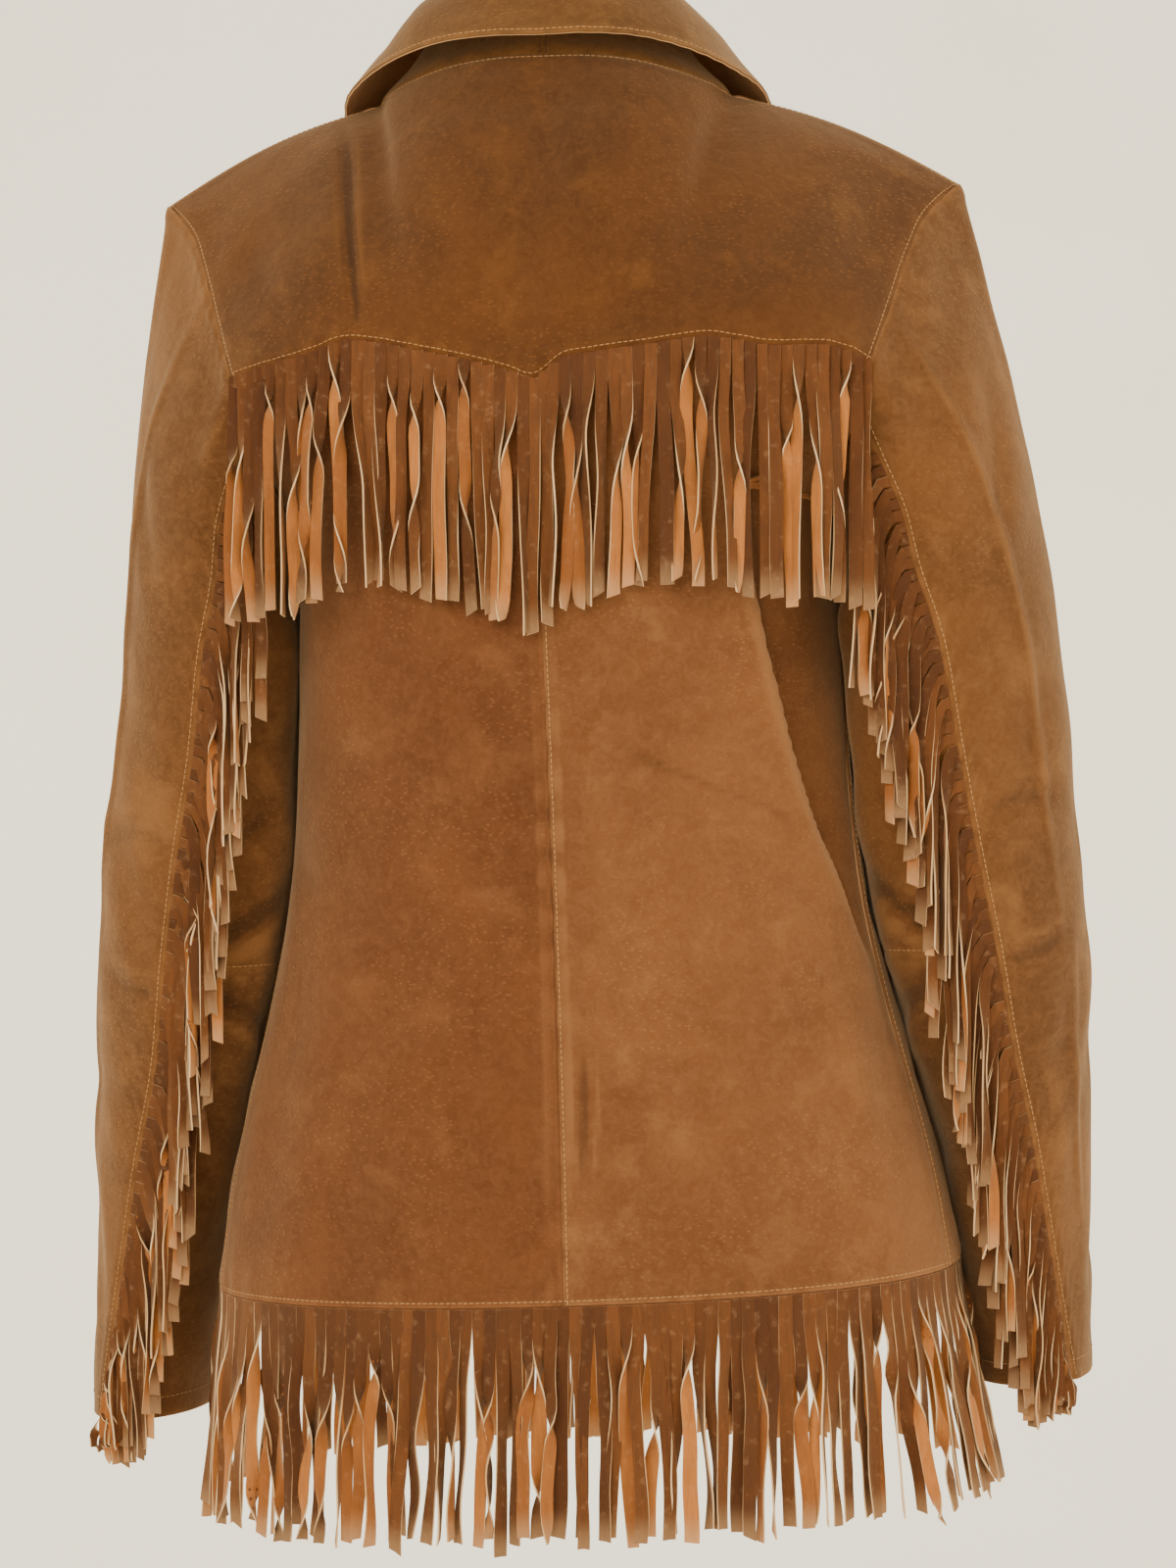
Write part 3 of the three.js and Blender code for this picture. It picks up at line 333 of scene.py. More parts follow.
def front_grid(side):
    share = columns / HALF_COLUMNS
    mirrored = np.array([side, 1, 1])
    edges = np.vstack([side_edge, armhole_front[:1]])
    lower = [row_points(np.full(len(share), e[2]), share, e, math.pi) * mirrored for e in edges]
    upper = risen_rows(lower[-1], neck_front, armhole_front, FRONT_RISE, -1, side)
    grid = np.concatenate([np.array(lower[:-1]), upper])
    lap = grid[:, :1].copy()
    lap[..., 0] -= side * LAP
    grid = np.concatenate([lap, grid], 1)
    if side > 0:
        grid[..., 1] -= PLY_LIFT * (1 - smoothstep(grid[..., 0], LAP + LAP_FLAT, LAP + LAP_BLEND))
    return grid


# ---------------------------------------------------------------- sleeves and collar
armhole_loop = np.vstack([armhole_yoke[::-1], armhole_back[::-1][1:], armhole_front[1:-1]])
SLEEVE_COLUMNS = len(armhole_loop)
BACK_SEAM = YOKE_ROWS + 1
UNDERARM = YOKE_ROWS + BACK_ARMHOLE_ROWS
FRONT_SEAM = UNDERARM + 5


def body_side(z, y):
    """Half width of the body at heights and depths."""
    s = look_up(BODY, "z", np.maximum(z, HEM_Z))
    cosine = np.minimum(np.abs(y) / np.where(y > 0, s["back"], s["front"]), 1)
    sine = np.sqrt(1 - cosine ** 2)
    squared = 1 + s["square"] * (2 * sine * cosine) ** 2
    return s["half"] * sine * squared + np.maximum(HEM_Z - z, 0) / HEM_FRINGE * HEM_FLARE


def sleeve_rows(side):
    out = SLEEVE["left"] if side > 0 else SLEEVE["right"]
    index = np.arange(len(out))
    ox, ix = SLEEVE["ox"] + out, SLEEVE["ix"] + out * smoothstep(index, ELBOW_ROW, ELBOW_ROW + 3)
    oz, iz = SLEEVE["oz"], SLEEVE["iz"]

    def section(i, angle):
        half = np.array([(ox[i] - ix[i]) / 2, 0, (oz[i] - iz[i]) / 2])
        middle = np.array([(ox[i] + ix[i]) / 2, SLEEVE["y"][i], (oz[i] + iz[i]) / 2])
        deep = np.array([0, SLEEVE["deep"][i], 0])
        return middle + half * np.cos(angle)[:, None] + deep * np.sin(angle)[:, None]

    half = np.array([(ox[0] - ix[0]) / 2, 0, (oz[0] - iz[0]) / 2])
    arm = armhole_loop - np.array([(ox[0] + ix[0]) / 2, SLEEVE["y"][0], (oz[0] + iz[0]) / 2])
    natural = np.arctan2(arm[:, 1] / SLEEVE["deep"][0], arm @ half / (half @ half))
    j = np.arange(SLEEVE_COLUMNS)
    natural += np.where((j > UNDERARM) & (natural < math.pi / 2), 2 * math.pi, 0)
    rows = []
    for i in index:
        stops = [0, math.radians(SLEEVE["back"][i]), math.radians(SLEEVE["front"][i]), 2 * math.pi]
        settled = np.interp(j, [0, BACK_SEAM, FRONT_SEAM, SLEEVE_COLUMNS], stops)
        p = section(i, lerp(natural, settled, smoothstep(i, 0, 5)))
        freed = smoothstep(i, 0, 4)
        p += (armhole_loop - section(0, natural)) * (1 - freed)
        if freed == 1:
            p[:, 0] = np.maximum(p[:, 0], body_side(p[:, 2], p[:, 1]) + ARM_CLEARANCE)
        rows.append(p)
    return np.array(rows)


def sleeve_grid(side, first_row, last_row, first, last):
    j = (np.arange(first, last + 1) + SLEEVE_COLUMNS) % SLEEVE_COLUMNS
    return sleeve_rows(side)[first_row:last_row + 1][:, j] * (side, 1, 1)


neck_left = np.vstack([neck_back, neck_front[::-1][1:]])
neck_left[-1, 0] += COLLAR_END
neck_share = np.linspace(0, 1, len(neck_left))
along = np.gradient(neck_left, axis=0) * (1, 1, 0)
along[0] = (1, 0, 0)
along = unit(along)
outward = np.stack([-along[:, 1], along[:, 0], 0 * along[:, 0]], -1)


def collar_points(inwards, up, backwards=0):
    lift = np.zeros_like(neck_left)
    lift[:, 2] = up
    col = lambda v: np.broadcast_to(v, len(neck_left))[:, None]
    return neck_left - outward * col(inwards) - along * col(backwards) + lift


def stand_grid(side):
    c = look_up(COLLAR, "at", neck_share)
    shares = np.arange(COLLAR_ROWS + 1) / COLLAR_ROWS
    rows = [collar_points(c["roll_in"] * s ** 0.8, c["roll_up"] * s) for s in shares]
    return np.array(rows) * (side, 1, 1)


def fall_grid():
    c = look_up(COLLAR, "at", neck_share)
    top = collar_points(c["roll_in"], c["roll_up"] + 0.3)
    over = collar_points(c["roll_in"] - 1, c["roll_up"] + ROLL_RISE)
    out = collar_points(c["roll_in"] - ROLL_OUT, c["roll_up"] + ROLL_RISE, c["fall_side"] * 0.3)
    edge = collar_points(-c["fall_out"], c["fall_up"], c["fall_side"])
    shares = np.arange(COLLAR_ROWS + 2) / (COLLAR_ROWS + 1)
    half = np.array([bezier(top, over, out, edge, s) for s in shares])
    return np.concatenate([(half * (-1, 1, 1))[:, :0:-1], half], 1)


def worn(p):
    """The worn set of the jacket: the hip is a little to one side and the hem follows it."""
    p = np.array(p, float)
    depth = np.maximum(-p[..., 2], 0)
    tilt = HEM_TILT * p[..., 0] * (depth / -HEM_Z) ** 2
    p[..., 0] -= LEAN * depth / -HEM_Z
    p[..., 2] -= tilt
    return p


# ---------------------------------------------------------------- cloth surfaces
EDGES = ("first row", "last row", "first column", "last column")
CREASE_START, CREASE_END = (-0.12, 0.3), (0.62, 1.12)  # shares of its length where it fades in and out
SEAM_SWELL, SEAM_DIP = (0.45, 5.5, 3.2), (0.55, 0, 1.3)  # height, distance from the edge, width


class Cloth:
    """A fine grid of points of one piece, with its normals and its own flat sizes."""

    def __init__(self, name, grid, flip, step=4.0, sewn=EDGES):
        self.name, self.flip, self.sewn = name, flip, sewn
        grid = worn(grid)
        tall = lengths(grid[:, grid.shape[1] // 2])[-1]
        wide = max(lengths(row)[-1] for row in (grid[0], grid[-1], grid[len(grid) // 2]))
        grid = cubic(grid, int(tall / step) + 2, 0)
        self.p = cubic(grid, int(wide / step) + 2, 1)
        self.rows, self.columns = self.p.shape[:2]
        self.flat = (wide * MM, tall * MM)
        self.measure()
        self.raised = np.zeros(self.p.shape[:2])

    def measure(self):
        across = np.gradient(self.p, axis=1)
        up = np.gradient(self.p, axis=0)
        self.n = unit(np.cross(across, up)) * self.flip
        step = np.linalg.norm(np.diff(self.p, axis=1), axis=2)
        self.s = np.concatenate([np.zeros((self.rows, 1)), np.cumsum(step, 1)], 1)
        step = np.linalg.norm(np.diff(self.p, axis=0), axis=2)
        self.t = np.concatenate([np.zeros((1, self.columns)), np.cumsum(step, 0)], 0)
        self.from_edge = {
            "first row": self.t,
            "last row": self.t[-1:] - self.t,
            "first column": self.s,
            "last column": self.s[:, -1:] - self.s,
        }

    def near(self, edges=EDGES):
        return np.min([self.from_edge[e] for e in edges], 0)

    def crease(self, u0, v0, u1, v1, width, depth, bend=0.0, sharp=0.0):
        """A soft trough (or, with a negative depth, a ridge) between two places, given as shares
        of the piece across and up; sharp throws up a crest along its side."""
        wide, tall = self.s[:, -1:].mean(), self.t[-1:].mean()
        x = self.s / self.s[:, -1:] * wide
        y = self.t / self.t[-1:] * tall
        start = np.array([u0 * wide, v0 * tall])
        way = np.array([u1 * wide, v1 * tall]) - start
        length = np.hypot(*way)
        way = way / length
        run = ((x - start[0]) * way[0] + (y - start[1]) * way[1]) / length
        side = (x - start[0]) * -way[1] + (y - start[1]) * way[0]
        inside = np.clip(run, 0, 1)
        side = side - bend * 4 * inside * (1 - inside)
        ends = smoothstep(run, *CREASE_START) * (1 - smoothstep(run, *CREASE_END))
        shape = -np.exp(-(side / width) ** 2)
        if sharp:
            shape = shape + sharp * np.exp(-((side - 1.5 * width) / (0.6 * width)) ** 2)
        self.raised += depth * ends * shape

    def slack(self, size, seed, wave=70.0):
        """Slow unevenness of cloth that is worn, none at the seams."""
        pick = np.random.default_rng(seed)
        total = np.zeros_like(self.raised)
        for k in range(9):
            scale = wave * pick.uniform(0.45, 1.6)
            heading = pick.uniform(0, math.pi)
            stretch = pick.uniform(0.35, 1.0)
            x = self.s * math.cos(heading) + self.t * math.sin(heading)
            y = (self.t * math.cos(heading) - self.s * math.sin(heading)) * stretch
            a, b = pick.uniform(0, 2 * math.pi, 2)
            total += np.sin(2 * math.pi * x / scale + a + 0.8 * np.sin(2 * math.pi * y / (1.7 * scale) + b))
        self.raised += size * total / 3 * smoothstep(self.near(), 2, 26)

    def pucker(self, edge, size, pitch, seed, reach=9.0):
        """Small gathers along a stitched edge."""
        pick = np.random.default_rng(seed)
        run = self.s if "row" in edge else self.t
        phase = run / pitch * 2 * math.pi + 2.2 * np.sin(run / (pitch * 2.7) + pick.uniform(0, 6))
        swell = 0.55 + 0.45 * np.sin(run / 43 + pick.uniform(0, 6))
        off = self.from_edge[edge]
        self.raised += size * np.sin(phase) * swell * np.exp(-((off - 3) / reach) ** 2)

    def settle(self):
        """Puts the folds into the points, rounds the sewn edges and finds the wear."""
        off = self.near(self.sewn) if self.sewn else np.full(self.raised.shape, 99.0)
        swell, dip = (size * np.exp(-((off - at) / wide) ** 2) for size, at, wide in (SEAM_SWELL, SEAM_DIP))
        height = self.raised + swell - dip
        blur = height.copy()
        for _ in range(2):
            blur = smooth(blur)
        # crest: above zero on ridges, drawn rubbed lighter, and below zero in hollows, drawn darker as
        # painted shade
        self.crest = np.clip((height - smooth(smooth(smooth(blur)))) * 0.9, -1, 1)
        self.p = self.p + self.n * height[..., None]
        normal = self.n
        self.measure()
        self.n = unit(self.n + 0.25 * normal)
        self.wear = np.clip(np.exp(-(self.near() / 2.2) ** 2) * 0.8, 0, 1)

    def line(self, edge, distance, lift=0.0):
        """Points and normals along an edge, a distance in from it."""
        p, n, off = self.p, self.n, self.from_edge[edge]
        if "row" in edge:
            p, n, off = p.transpose(1, 0, 2), n.transpose(1, 0, 2), off.T
        if "last" in edge:
            p, n, off = p[:, ::-1], n[:, ::-1], off[:, ::-1]
        found, normals = [], []
        for q, m, d in zip(p, n, off):
            found.append([np.interp(distance, d, q[:, k]) for k in range(3)])
            normals.append([np.interp(distance, d, m[:, k]) for k in range(3)])
        normals = unit(np.array(normals))
        return np.array(found) + normals * lift, normals


def smooth(a):
    """A grid of heights averaged with its neighbours."""
    e = np.pad(a, 1, mode="edge")
    return (e[:-2, 1:-1] + e[2:, 1:-1] + e[1:-1, :-2] + e[1:-1, 2:] + 2 * a) / 6


# ---------------------------------------------------------------- meshes
def mesh_object(name, verts, faces, materials, indices=None, flat_over=None, values=None):
    """A mesh in metres from arrays in millimetres; faces are quads or triangles."""
    mesh = bpy.data.meshes.new(name)
    verts = np.asarray(verts, float)
    mesh.vertices.add(len(verts))
    mesh.vertices.foreach_set("co", (verts * MM).ravel())
    corners = np.concatenate([np.asarray(f).ravel() for f in faces])
    sizes = np.concatenate([np.full(len(f), np.asarray(f).shape[1]) for f in faces])
    mesh.loops.add(len(corners))
    mesh.loops.foreach_set("vertex_index", corners)
    mesh.polygons.add(len(sizes))
    mesh.polygons.foreach_set("loop_start", np.concatenate([[0], np.cumsum(sizes)[:-1]]))
    mesh.polygons.foreach_set("use_smooth", np.ones(len(sizes), bool))
    if indices is not None:
        mesh.polygons.foreach_set("material_index", np.asarray(indices, np.int32))
    mesh.update(calc_edges=True)
    mesh.validate()
    for key, value in (values or {}).items():
        layer = mesh.attributes.new(key, "FLOAT", "POINT")
        layer.data.foreach_set("value", np.asarray(value, np.float32).ravel())
    if flat_over is not None:
        mesh.set_sharp_from_angle(angle=math.radians(flat_over))
    for material in materials:
        mesh.materials.append(material)
    made = bpy.data.objects.new(name, mesh)
    bpy.context.scene.collection.objects.link(made)
    return made


def quads(rows, columns):
    """Corner numbers of the faces of a grid of points."""
    a = (np.arange(rows - 1)[:, None] * columns + np.arange(columns - 1)).ravel()
    return np.stack([a, a + 1, a + 1 + columns, a + columns], -1)


def border(rows, columns):
    grid = np.arange(rows * columns).reshape(rows, columns)
    return np.concatenate([grid[0, :-1], grid[:-1, -1], grid[-1, :0:-1], grid[:0:-1, 0]])


def shell(cloth, finish):
    """A thin closed wall on a cloth's surface, its cut edge a little rounded."""
    rows, columns = cloth.rows, cloth.columns
    outer = cloth.p.copy()
    for view in (outer, outer.transpose(1, 0, 2)):
        for last, before in ((0, 1), (-1, -2)):
            view[last] += unit(view[before] - view[last]) * EDGE_GAP
    edge = border(rows, columns)
    outer, normal, full = (grid.reshape(-1, 3) for grid in (outer, cloth.n, cloth.p))
    half = normal[edge] * THICK * 0.5
    middle = outer[edge] - half
    middle -= unit(middle - full[edge] + half) * EDGE_ROUND
    count, rim = rows * columns, len(edge)
    verts = np.concatenate([outer, outer - normal * THICK, middle])
    face = quads(rows, columns)
    after = np.roll(edge, -1)
    ring_a = 2 * count + np.arange(rim)
    ring_b = np.roll(ring_a, -1)
    faces = [
        face, (face + count)[:, ::-1],
        np.stack([after, edge, ring_a, ring_b], -1),
        np.stack([ring_b, ring_a, edge + count, after + count], -1),
    ]
    if cloth.flip < 0:
        faces = [f[:, ::-1] for f in faces]
    wear, crest = cloth.wear.ravel(), cloth.crest.ravel()
    values = {
        "wear": np.concatenate([wear, wear, np.full(rim, 0.3)]),
        "crest": np.concatenate([crest, -crest, np.zeros(rim)]),
        "inside": np.concatenate([np.zeros(count), np.ones(count), np.full(rim, 0.12)]),
    }
    return mesh_object(f"{cloth.name}_cloth", verts, faces, [finish], flat_over=70, values=values)


def lathe(profile, count):
    """Corners and faces of a shape turned about its +Z axis, from (radius, height) pairs."""
    angle = np.arange(count) / count * 2 * math.pi
    rings = [np.stack([r * np.cos(angle), r * np.sin(angle), np.full(count, z)], -1) for r, z in profile]
    k = np.arange(count)
    after = (k + 1) % count
    quad = np.stack([k, after, count + after, count + k], -1)
    return np.concatenate(rings), np.concatenate([quad + count * b for b in range(len(profile) - 1)])


def stitch_mesh(name, lines, material, pitch=3.1, long=2.3, radius=0.32):
    """One joined mesh of topstitches along lines of (points, normals)."""
    profile = [(radius * r, x * long) for x, r in ((-0.5, 0.35), (-0.36, 0.9), (0.36, 0.9), (0.5, 0.35))]
    shape, sides = lathe(profile, 6)
    shape = shape[:, [2, 0, 1]]
    caps = np.array([[0, 5, 4, 3, 2, 1], [18, 19, 20, 21, 22, 23]])
    verts, count = [], 0
    for line, normal in lines:
        run = lengths(line)
        at = np.arange(pitch / 2, run[-1] - pitch / 3, pitch)
        at = at + chance.uniform(-0.12, 0.12, len(at))
        centre, ahead = columns_at(at, run, line), columns_at(at + 1, run, line)
        up = unit(columns_at(at, run, normal))
        forward = unit(ahead - centre)
        forward = unit(forward - up * (forward * up).sum(1, keepdims=True))
        side = np.cross(up, forward)
        forward = unit(forward + side * chance.normal(0, 0.05, (len(at), 1)))
        frames = np.stack([forward, side, up], 1)
        verts.append(np.einsum("vk,nkj->nvj", shape, frames) + centre[:, None])
        count += len(at)
    verts = np.concatenate(verts)
    base = (np.arange(count) * len(shape))[:, None, None]
    faces = [(sides[None] + base).reshape(-1, 4), (caps[None] + base).reshape(-1, 6)]
    return mesh_object(name, verts.reshape(-1, 3), faces, [material], flat_over=60)


# ---------------------------------------------------------------- fringes
SEGMENTS = 26
TURN_BACK, EDGE_ON = 0.34, 0.1  # share of the length in which a strand turns back, and share edge-on


def wander(count, steps, waves, size):
    """Smooth random drift along each strand, nothing at its root."""
    t = np.linspace(0, 1, steps)
    total = np.zeros((count, steps))
    for k in range(1, waves + 1):
        total += chance.normal(0, size / k, (count, 1)) * np.sin(
            math.pi * k * t + chance.uniform(0, 2 * math.pi, (count, 1))
        )
    return (total - total[:, :1]) * smoothstep(t, 0, 0.35)


def twists(count, steps, turned=0.42, loose=0.3):
    """Angle of each strand about its length: some turn their inner side out for part of it."""
    t = np.linspace(0, 1, steps)
    start = chance.uniform(-0.05, 0.4, (count, 1))
    span = chance.uniform(0.2, 0.55, (count, 1))
    way = chance.choice([-1, 1], (count, 1))
    kind = chance.uniform(0, 1, (count, 1))
    over = smoothstep((t - start) / span, 0, 1)
    pause = chance.uniform(0.05, 0.3, (count, 1))
    back = math.pi * smoothstep((t - start - span - pause) / TURN_BACK, 0, 1)
    turn = way * math.pi * over * (kind < turned)
    turn -= way * back * (kind < turned * 0.5) * chance.choice([-1, 1], (count, 1))
    on_edge = (kind > turned) & (kind < turned + EDGE_ON)
    turn += way * chance.uniform(0.7, 1.5, (count, 1)) * over * on_edge
    return turn + wander(count, steps, 3, loose) * 1.2


def strand_mesh(node, centre, across, outward, turn, width=STRAND, extra=None, uneven=0.5):
    """One joined mesh of strands, for a fringe's node. centre is (strand, step, xyz); across and
    outward are the strand's own directions before it turns; the cut is slightly uneven."""
    count, steps = centre.shape[:2]
    wide = np.cos(turn)[..., None] * across + np.sin(turn)[..., None] * outward
    facing = np.cos(turn)[..., None] * outward - np.sin(turn)[..., None] * across
    half = width / 2 * (1 + chance.normal(0, 0.06, (count, 1)) + wander(count, steps, 3, 0.05))[..., None]
    curled = smoothstep(np.linspace(0, 1, steps), 0.05, 0.6)[:, None]
    curl = chance.normal(0.25, uneven, (count, 1))[..., None] * curled
    thick = facing * STRAND_THICK / 2
    dished = [centre + wide * half * side + facing * curl * abs(side) for side in (-1, 0, 1)]
    # the ring of a cross-section: outer left, middle, right, then inner right, middle, left
    ring_points = [p + thick for p in dished] + [p - thick for p in dished[::-1]]
    slant = chance.normal(0, 0.9, (count, 1))
    down = unit(centre[:, -1] - centre[:, -2])
    for k, reach in ((0, -1), (5, -1), (2, 1), (3, 1)):
        ring_points[k][:, -1] += down * slant * reach
    verts = np.stack(ring_points, 2)
    k = np.arange(6)
    after = (k + 1) % 6
    step = np.arange(steps - 1)[:, None] * 6
    tube = np.stack([step + k, step + after, step + after + 6, step + k + 6], -1).reshape(-1, 4)
    kind = np.tile(np.array([0, 0, 2, 1, 1, 2]), steps - 1)
    last = (steps - 1) * 6
    root_caps, tip_caps = np.array([[1, 0, 5, 4], [2, 1, 4, 3]]), np.array([[0, 1, 4, 5], [1, 2, 3, 4]])
    face = np.concatenate([tube[:, ::-1], root_caps, tip_caps + last])
    kind = np.concatenate([kind, [2, 2, 2, 2]])
    base = (np.arange(count) * steps * 6)[:, None, None]
    faces = [(face[None] + base).reshape(-1, 4)]
    kinds = [np.tile(kind, count)]
    tone = np.repeat(chance.uniform(0, 1, count), steps * 6)
    depth = np.tile(np.repeat(np.linspace(0, 1, steps), 6), count)
    verts = verts.reshape(-1, 3)
    if extra is not None:
        more, more_faces, more_kinds = extra
        faces.append(more_faces + len(verts))
        kinds.append(more_kinds)
        verts = np.concatenate([verts, more])
        tone = np.concatenate([tone, np.full(len(more), 0.5)])
        depth = np.concatenate([depth, np.zeros(len(more))])
    values = {"tone": tone, "depth": depth}
    made_mesh = mesh_object(f"{node}_strands", verts, faces, STRANDS, np.concatenate(kinds), 50, values)
    belongs(made_mesh, "suede_fringe", node)


def header(line, normal, drop):
    """The uncut strip that the strands hang from."""
    levels, half = np.linspace(0, 1, 4), normal * (STRAND_THICK + 0.3) / 2
    outer, inner = (
        np.concatenate([line - (0, 0, drop * v) + half * face for v in levels]) for face in (1, -1)
    )
    count = len(outer)
    face, edge = quads(len(levels), len(line)), border(len(levels), len(line))
    after = np.roll(edge, -1)
    rim = np.stack([after, edge, edge + count, after + count], -1)
    faces = np.concatenate([face, (face + count)[:, ::-1], rim])
    kinds = np.concatenate([np.zeros(len(face)), np.ones(len(face)), np.full(len(edge), 2)])
    return np.concatenate([outer, inner]), faces, kinds


def strand_roots(line, normal, gap, start=0.0, end=0.0):
    """Strands side by side along a line: how far along it, their roots, and which way is out."""
    run = lengths(line)
    total = run[-1] - start - end
    count = int(total / (STRAND + gap))
    at = start + (np.arange(count) + 0.5) * total / count
    return count, at, columns_at(at, run, line), columns_at(at, run, normal)


def back_depth(x, z):
    """How far out the back of the body stands, worn."""
    x = x + LEAN * np.maximum(-z, 0) / -HEM_Z
    s = look_up(BODY, "z", z)
    free = np.abs(x) > FREE_HANG * s["half"]
    angle = np.zeros_like(x)
    for _ in range(5):
        squared = 1 + s["square"] * np.sin(2 * angle) ** 2
        angle = np.arcsin(np.clip(x / (s["half"] * squared), -1, 1))
    return np.where(free, 0, ring(z, angle)[..., 1])


def yoke_fringe(yoke):
    """Strands from the yoke seam, over the back."""
    seam, normal = yoke.line("first row", 0.6)
    count, at, root, _ = strand_roots(seam, normal, YOKE_SPACE)
    length = YOKE_FRINGE + chance.normal(0, 2.2, count) + 3 * np.sin(at / 23)
    t = np.linspace(0, 1, SEGMENTS)
    centre = np.repeat(root[:, None], SEGMENTS, 1)
    centre[..., 2] -= length[:, None] * t + 1.2
    # a gap right of the middle, where the strands are pushed aside
    from_gap = at - YOKE_GAP * lengths(seam)[-1]
    push = np.sign(from_gap) * GAP_PUSH * np.exp(-(from_gap / GAP_REACH) ** 2)
    lean = chance.normal(0, 2.2, count) - push
    centre[..., 0] += lean[:, None] * smoothstep(t, 0.05, 0.9) + wander(count, SEGMENTS, 4, 1.1)
    turn = twists(count, SEGMENTS)
    rest = back_depth(centre[..., 0], centre[..., 2])
    rest = np.maximum.accumulate(np.maximum(rest, root[:, 1:2] - 0.5), 1)
    layer = chance.uniform(0.4, 3.4, count)[:, None] * smoothstep(t, 0, 0.3)
    centre[..., 1] = rest + 1.6 + layer + 2.6 * np.abs(np.sin(turn))
    centre[..., 1] += np.abs(wander(count, SEGMENTS, 3, 0.8))
    across = np.broadcast_to([1.0, 0, 0], centre.shape)
    out = np.broadcast_to([0, 1.0, 0], centre.shape)
    line, normal = yoke.line("first row", -0.2)
    extra = header(line + normal * 0.6 + (0, 0.4, 0), normal, YOKE_STRIP)
    strand_mesh("fringe_yoke", centre, across, out, turn, extra=extra)


def hem_fringe(node, line, normal):
    """Strands from a stretch of the hem, swept out at the wearer's right."""
    count, _, root, out = strand_roots(line, normal, HEM_SPACE)
    out = unit(out * (1, 1, 0))
    length = HEM_FRINGE - 2 + chance.normal(0, 2.5, count)
    t = np.linspace(0, 1, SEGMENTS)
    across = unit(np.cross(out, [0, 0, 1.0]))
    flare = HEM_FLARE * t ** 1.5 * chance.uniform(0.2, 1.0, (count, 1))
    flare = flare + np.abs(wander(count, SEGMENTS, 3, 1.2))
    drift = wander(count, SEGMENTS, 5, 1.3) + chance.normal(0, 1.7, (count, 1)) * t
    turn = twists(count, SEGMENTS, 0.36, 0.34)
    centre = np.repeat(root[:, None], SEGMENTS, 1)
    centre = centre + out[:, None] * (flare - 0.4)[..., None] + across[:, None] * drift[..., None]
    centre[..., 2] -= length[:, None] * t + 1.0
    centre[..., 0] -= (HEM_SWEEP * smoothstep(-root[:, 0], 150, 215))[:, None] * t ** 1.3
    way = -1 if across[0] @ (root[-1] - root[0]) < 0 else 1
    wide, facing = (np.repeat(v[:, None], SEGMENTS, 1) for v in (way * across, out))
    extra = header(line - normal * 0.9, normal, HEM_STRIP)
    strand_mesh(node, centre, wide, facing, turn, HEM_STRAND, extra)


def sleeve_fringe(node, side, under_top, under_low):
    """Strands that leave the back seam inwards and hang down, each over the next ones' roots."""
    seam, normal = [], []
    for cloth in (under_top, under_low):
        line, facing = cloth.line("first column", 0.8)
        downwards = slice(None) if line[0, 2] > line[-1, 2] else slice(None, None, -1)
        seam.append(line[downwards])
        normal.append(facing[downwards])
    seam, normal = np.concatenate(seam), unit(np.concatenate(normal))
    run = lengths(seam)
    start = np.interp(SLEEVE_FRINGE_TOP, seam[::-1, 2], run[::-1])
    count, _, root, out = strand_roots(seam, normal, SLEEVE_SPACE, start, 4)
    out = unit(out)
    surface = np.concatenate([c.p[::4, ::3].reshape(-1, 3) for c in (under_top, under_low)])
    t = np.linspace(0, 1, SEGMENTS)
    length = SLEEVE_FRINGE + chance.normal(0, 4, count)
    short = np.minimum(length, root[:, 2] - (seam[-1, 2] - chance.uniform(12, 25, count)))
    length = np.maximum(short, 16)
    inward = -side * unit(np.array([1.0, 0, 0]) - out * out[:, :1])
    bow = (chance.uniform(5, 15, count) * smoothstep(root[:, 2], -740, -560) + 2.5)[:, None]
    bow = bow * (1 - np.exp(-t * length[:, None] / 9))
    centre = np.repeat(root[:, None], SEGMENTS, 1) + inward[:, None] * bow[..., None]
    centre[..., 2] -= length[:, None] * np.maximum(t - 0.03, 0)
    centre[..., 0] += wander(count, SEGMENTS, 4, 1.3) - side * chance.uniform(-1, 3.5, (count, 1)) * t
    # the surface that each point lies over: the outermost of the nearest cloth behind it
    rest, near = np.zeros(centre.shape[:2]), 16
    for i in range(count):
        gap = np.abs(surface[None] - centre[i, :, None]) @ (2, 0, 1)
        nearest = np.argpartition(gap, 4, axis=1)[:, :4]
        rest[i] = np.where(gap.min(1) < near, surface[nearest, 1].max(1), root[i, 1] - 4)
    for _ in range(3):
        rest[:, 1:-1] = np.maximum(rest[:, 1:-1], (rest[:, :-2] + rest[:, 2:]) / 2)
    layer = 1.2 + 5.0 * smoothstep(t, 0.0, 0.8) + chance.uniform(0, 1.6, (count, 1))
    turn = twists(count, SEGMENTS, 0.34, 0.35)
    hang = np.maximum(rest, root[:, 1:2] - 3) + layer + 2.4 * np.abs(np.sin(turn))
    blend = smoothstep(t * length[:, None], 0, 12)
    centre[..., 1] = lerp(root[:, 1:2] + 0.6, hang, blend)
    seam_way = -unit(np.gradient(root, axis=0))[:, None]
    mix = smoothstep(t * length[:, None], 0, 14)[..., None]
    across = unit(lerp(seam_way, np.array([-side, 0.0, 0.0]), mix))
    facing = unit(np.array([0, 1.0, 0]) - across * across[..., 1:2])
    strand_mesh(node, centre, across * -side, facing, turn, SLEEVE_STRAND, uneven=0.4)


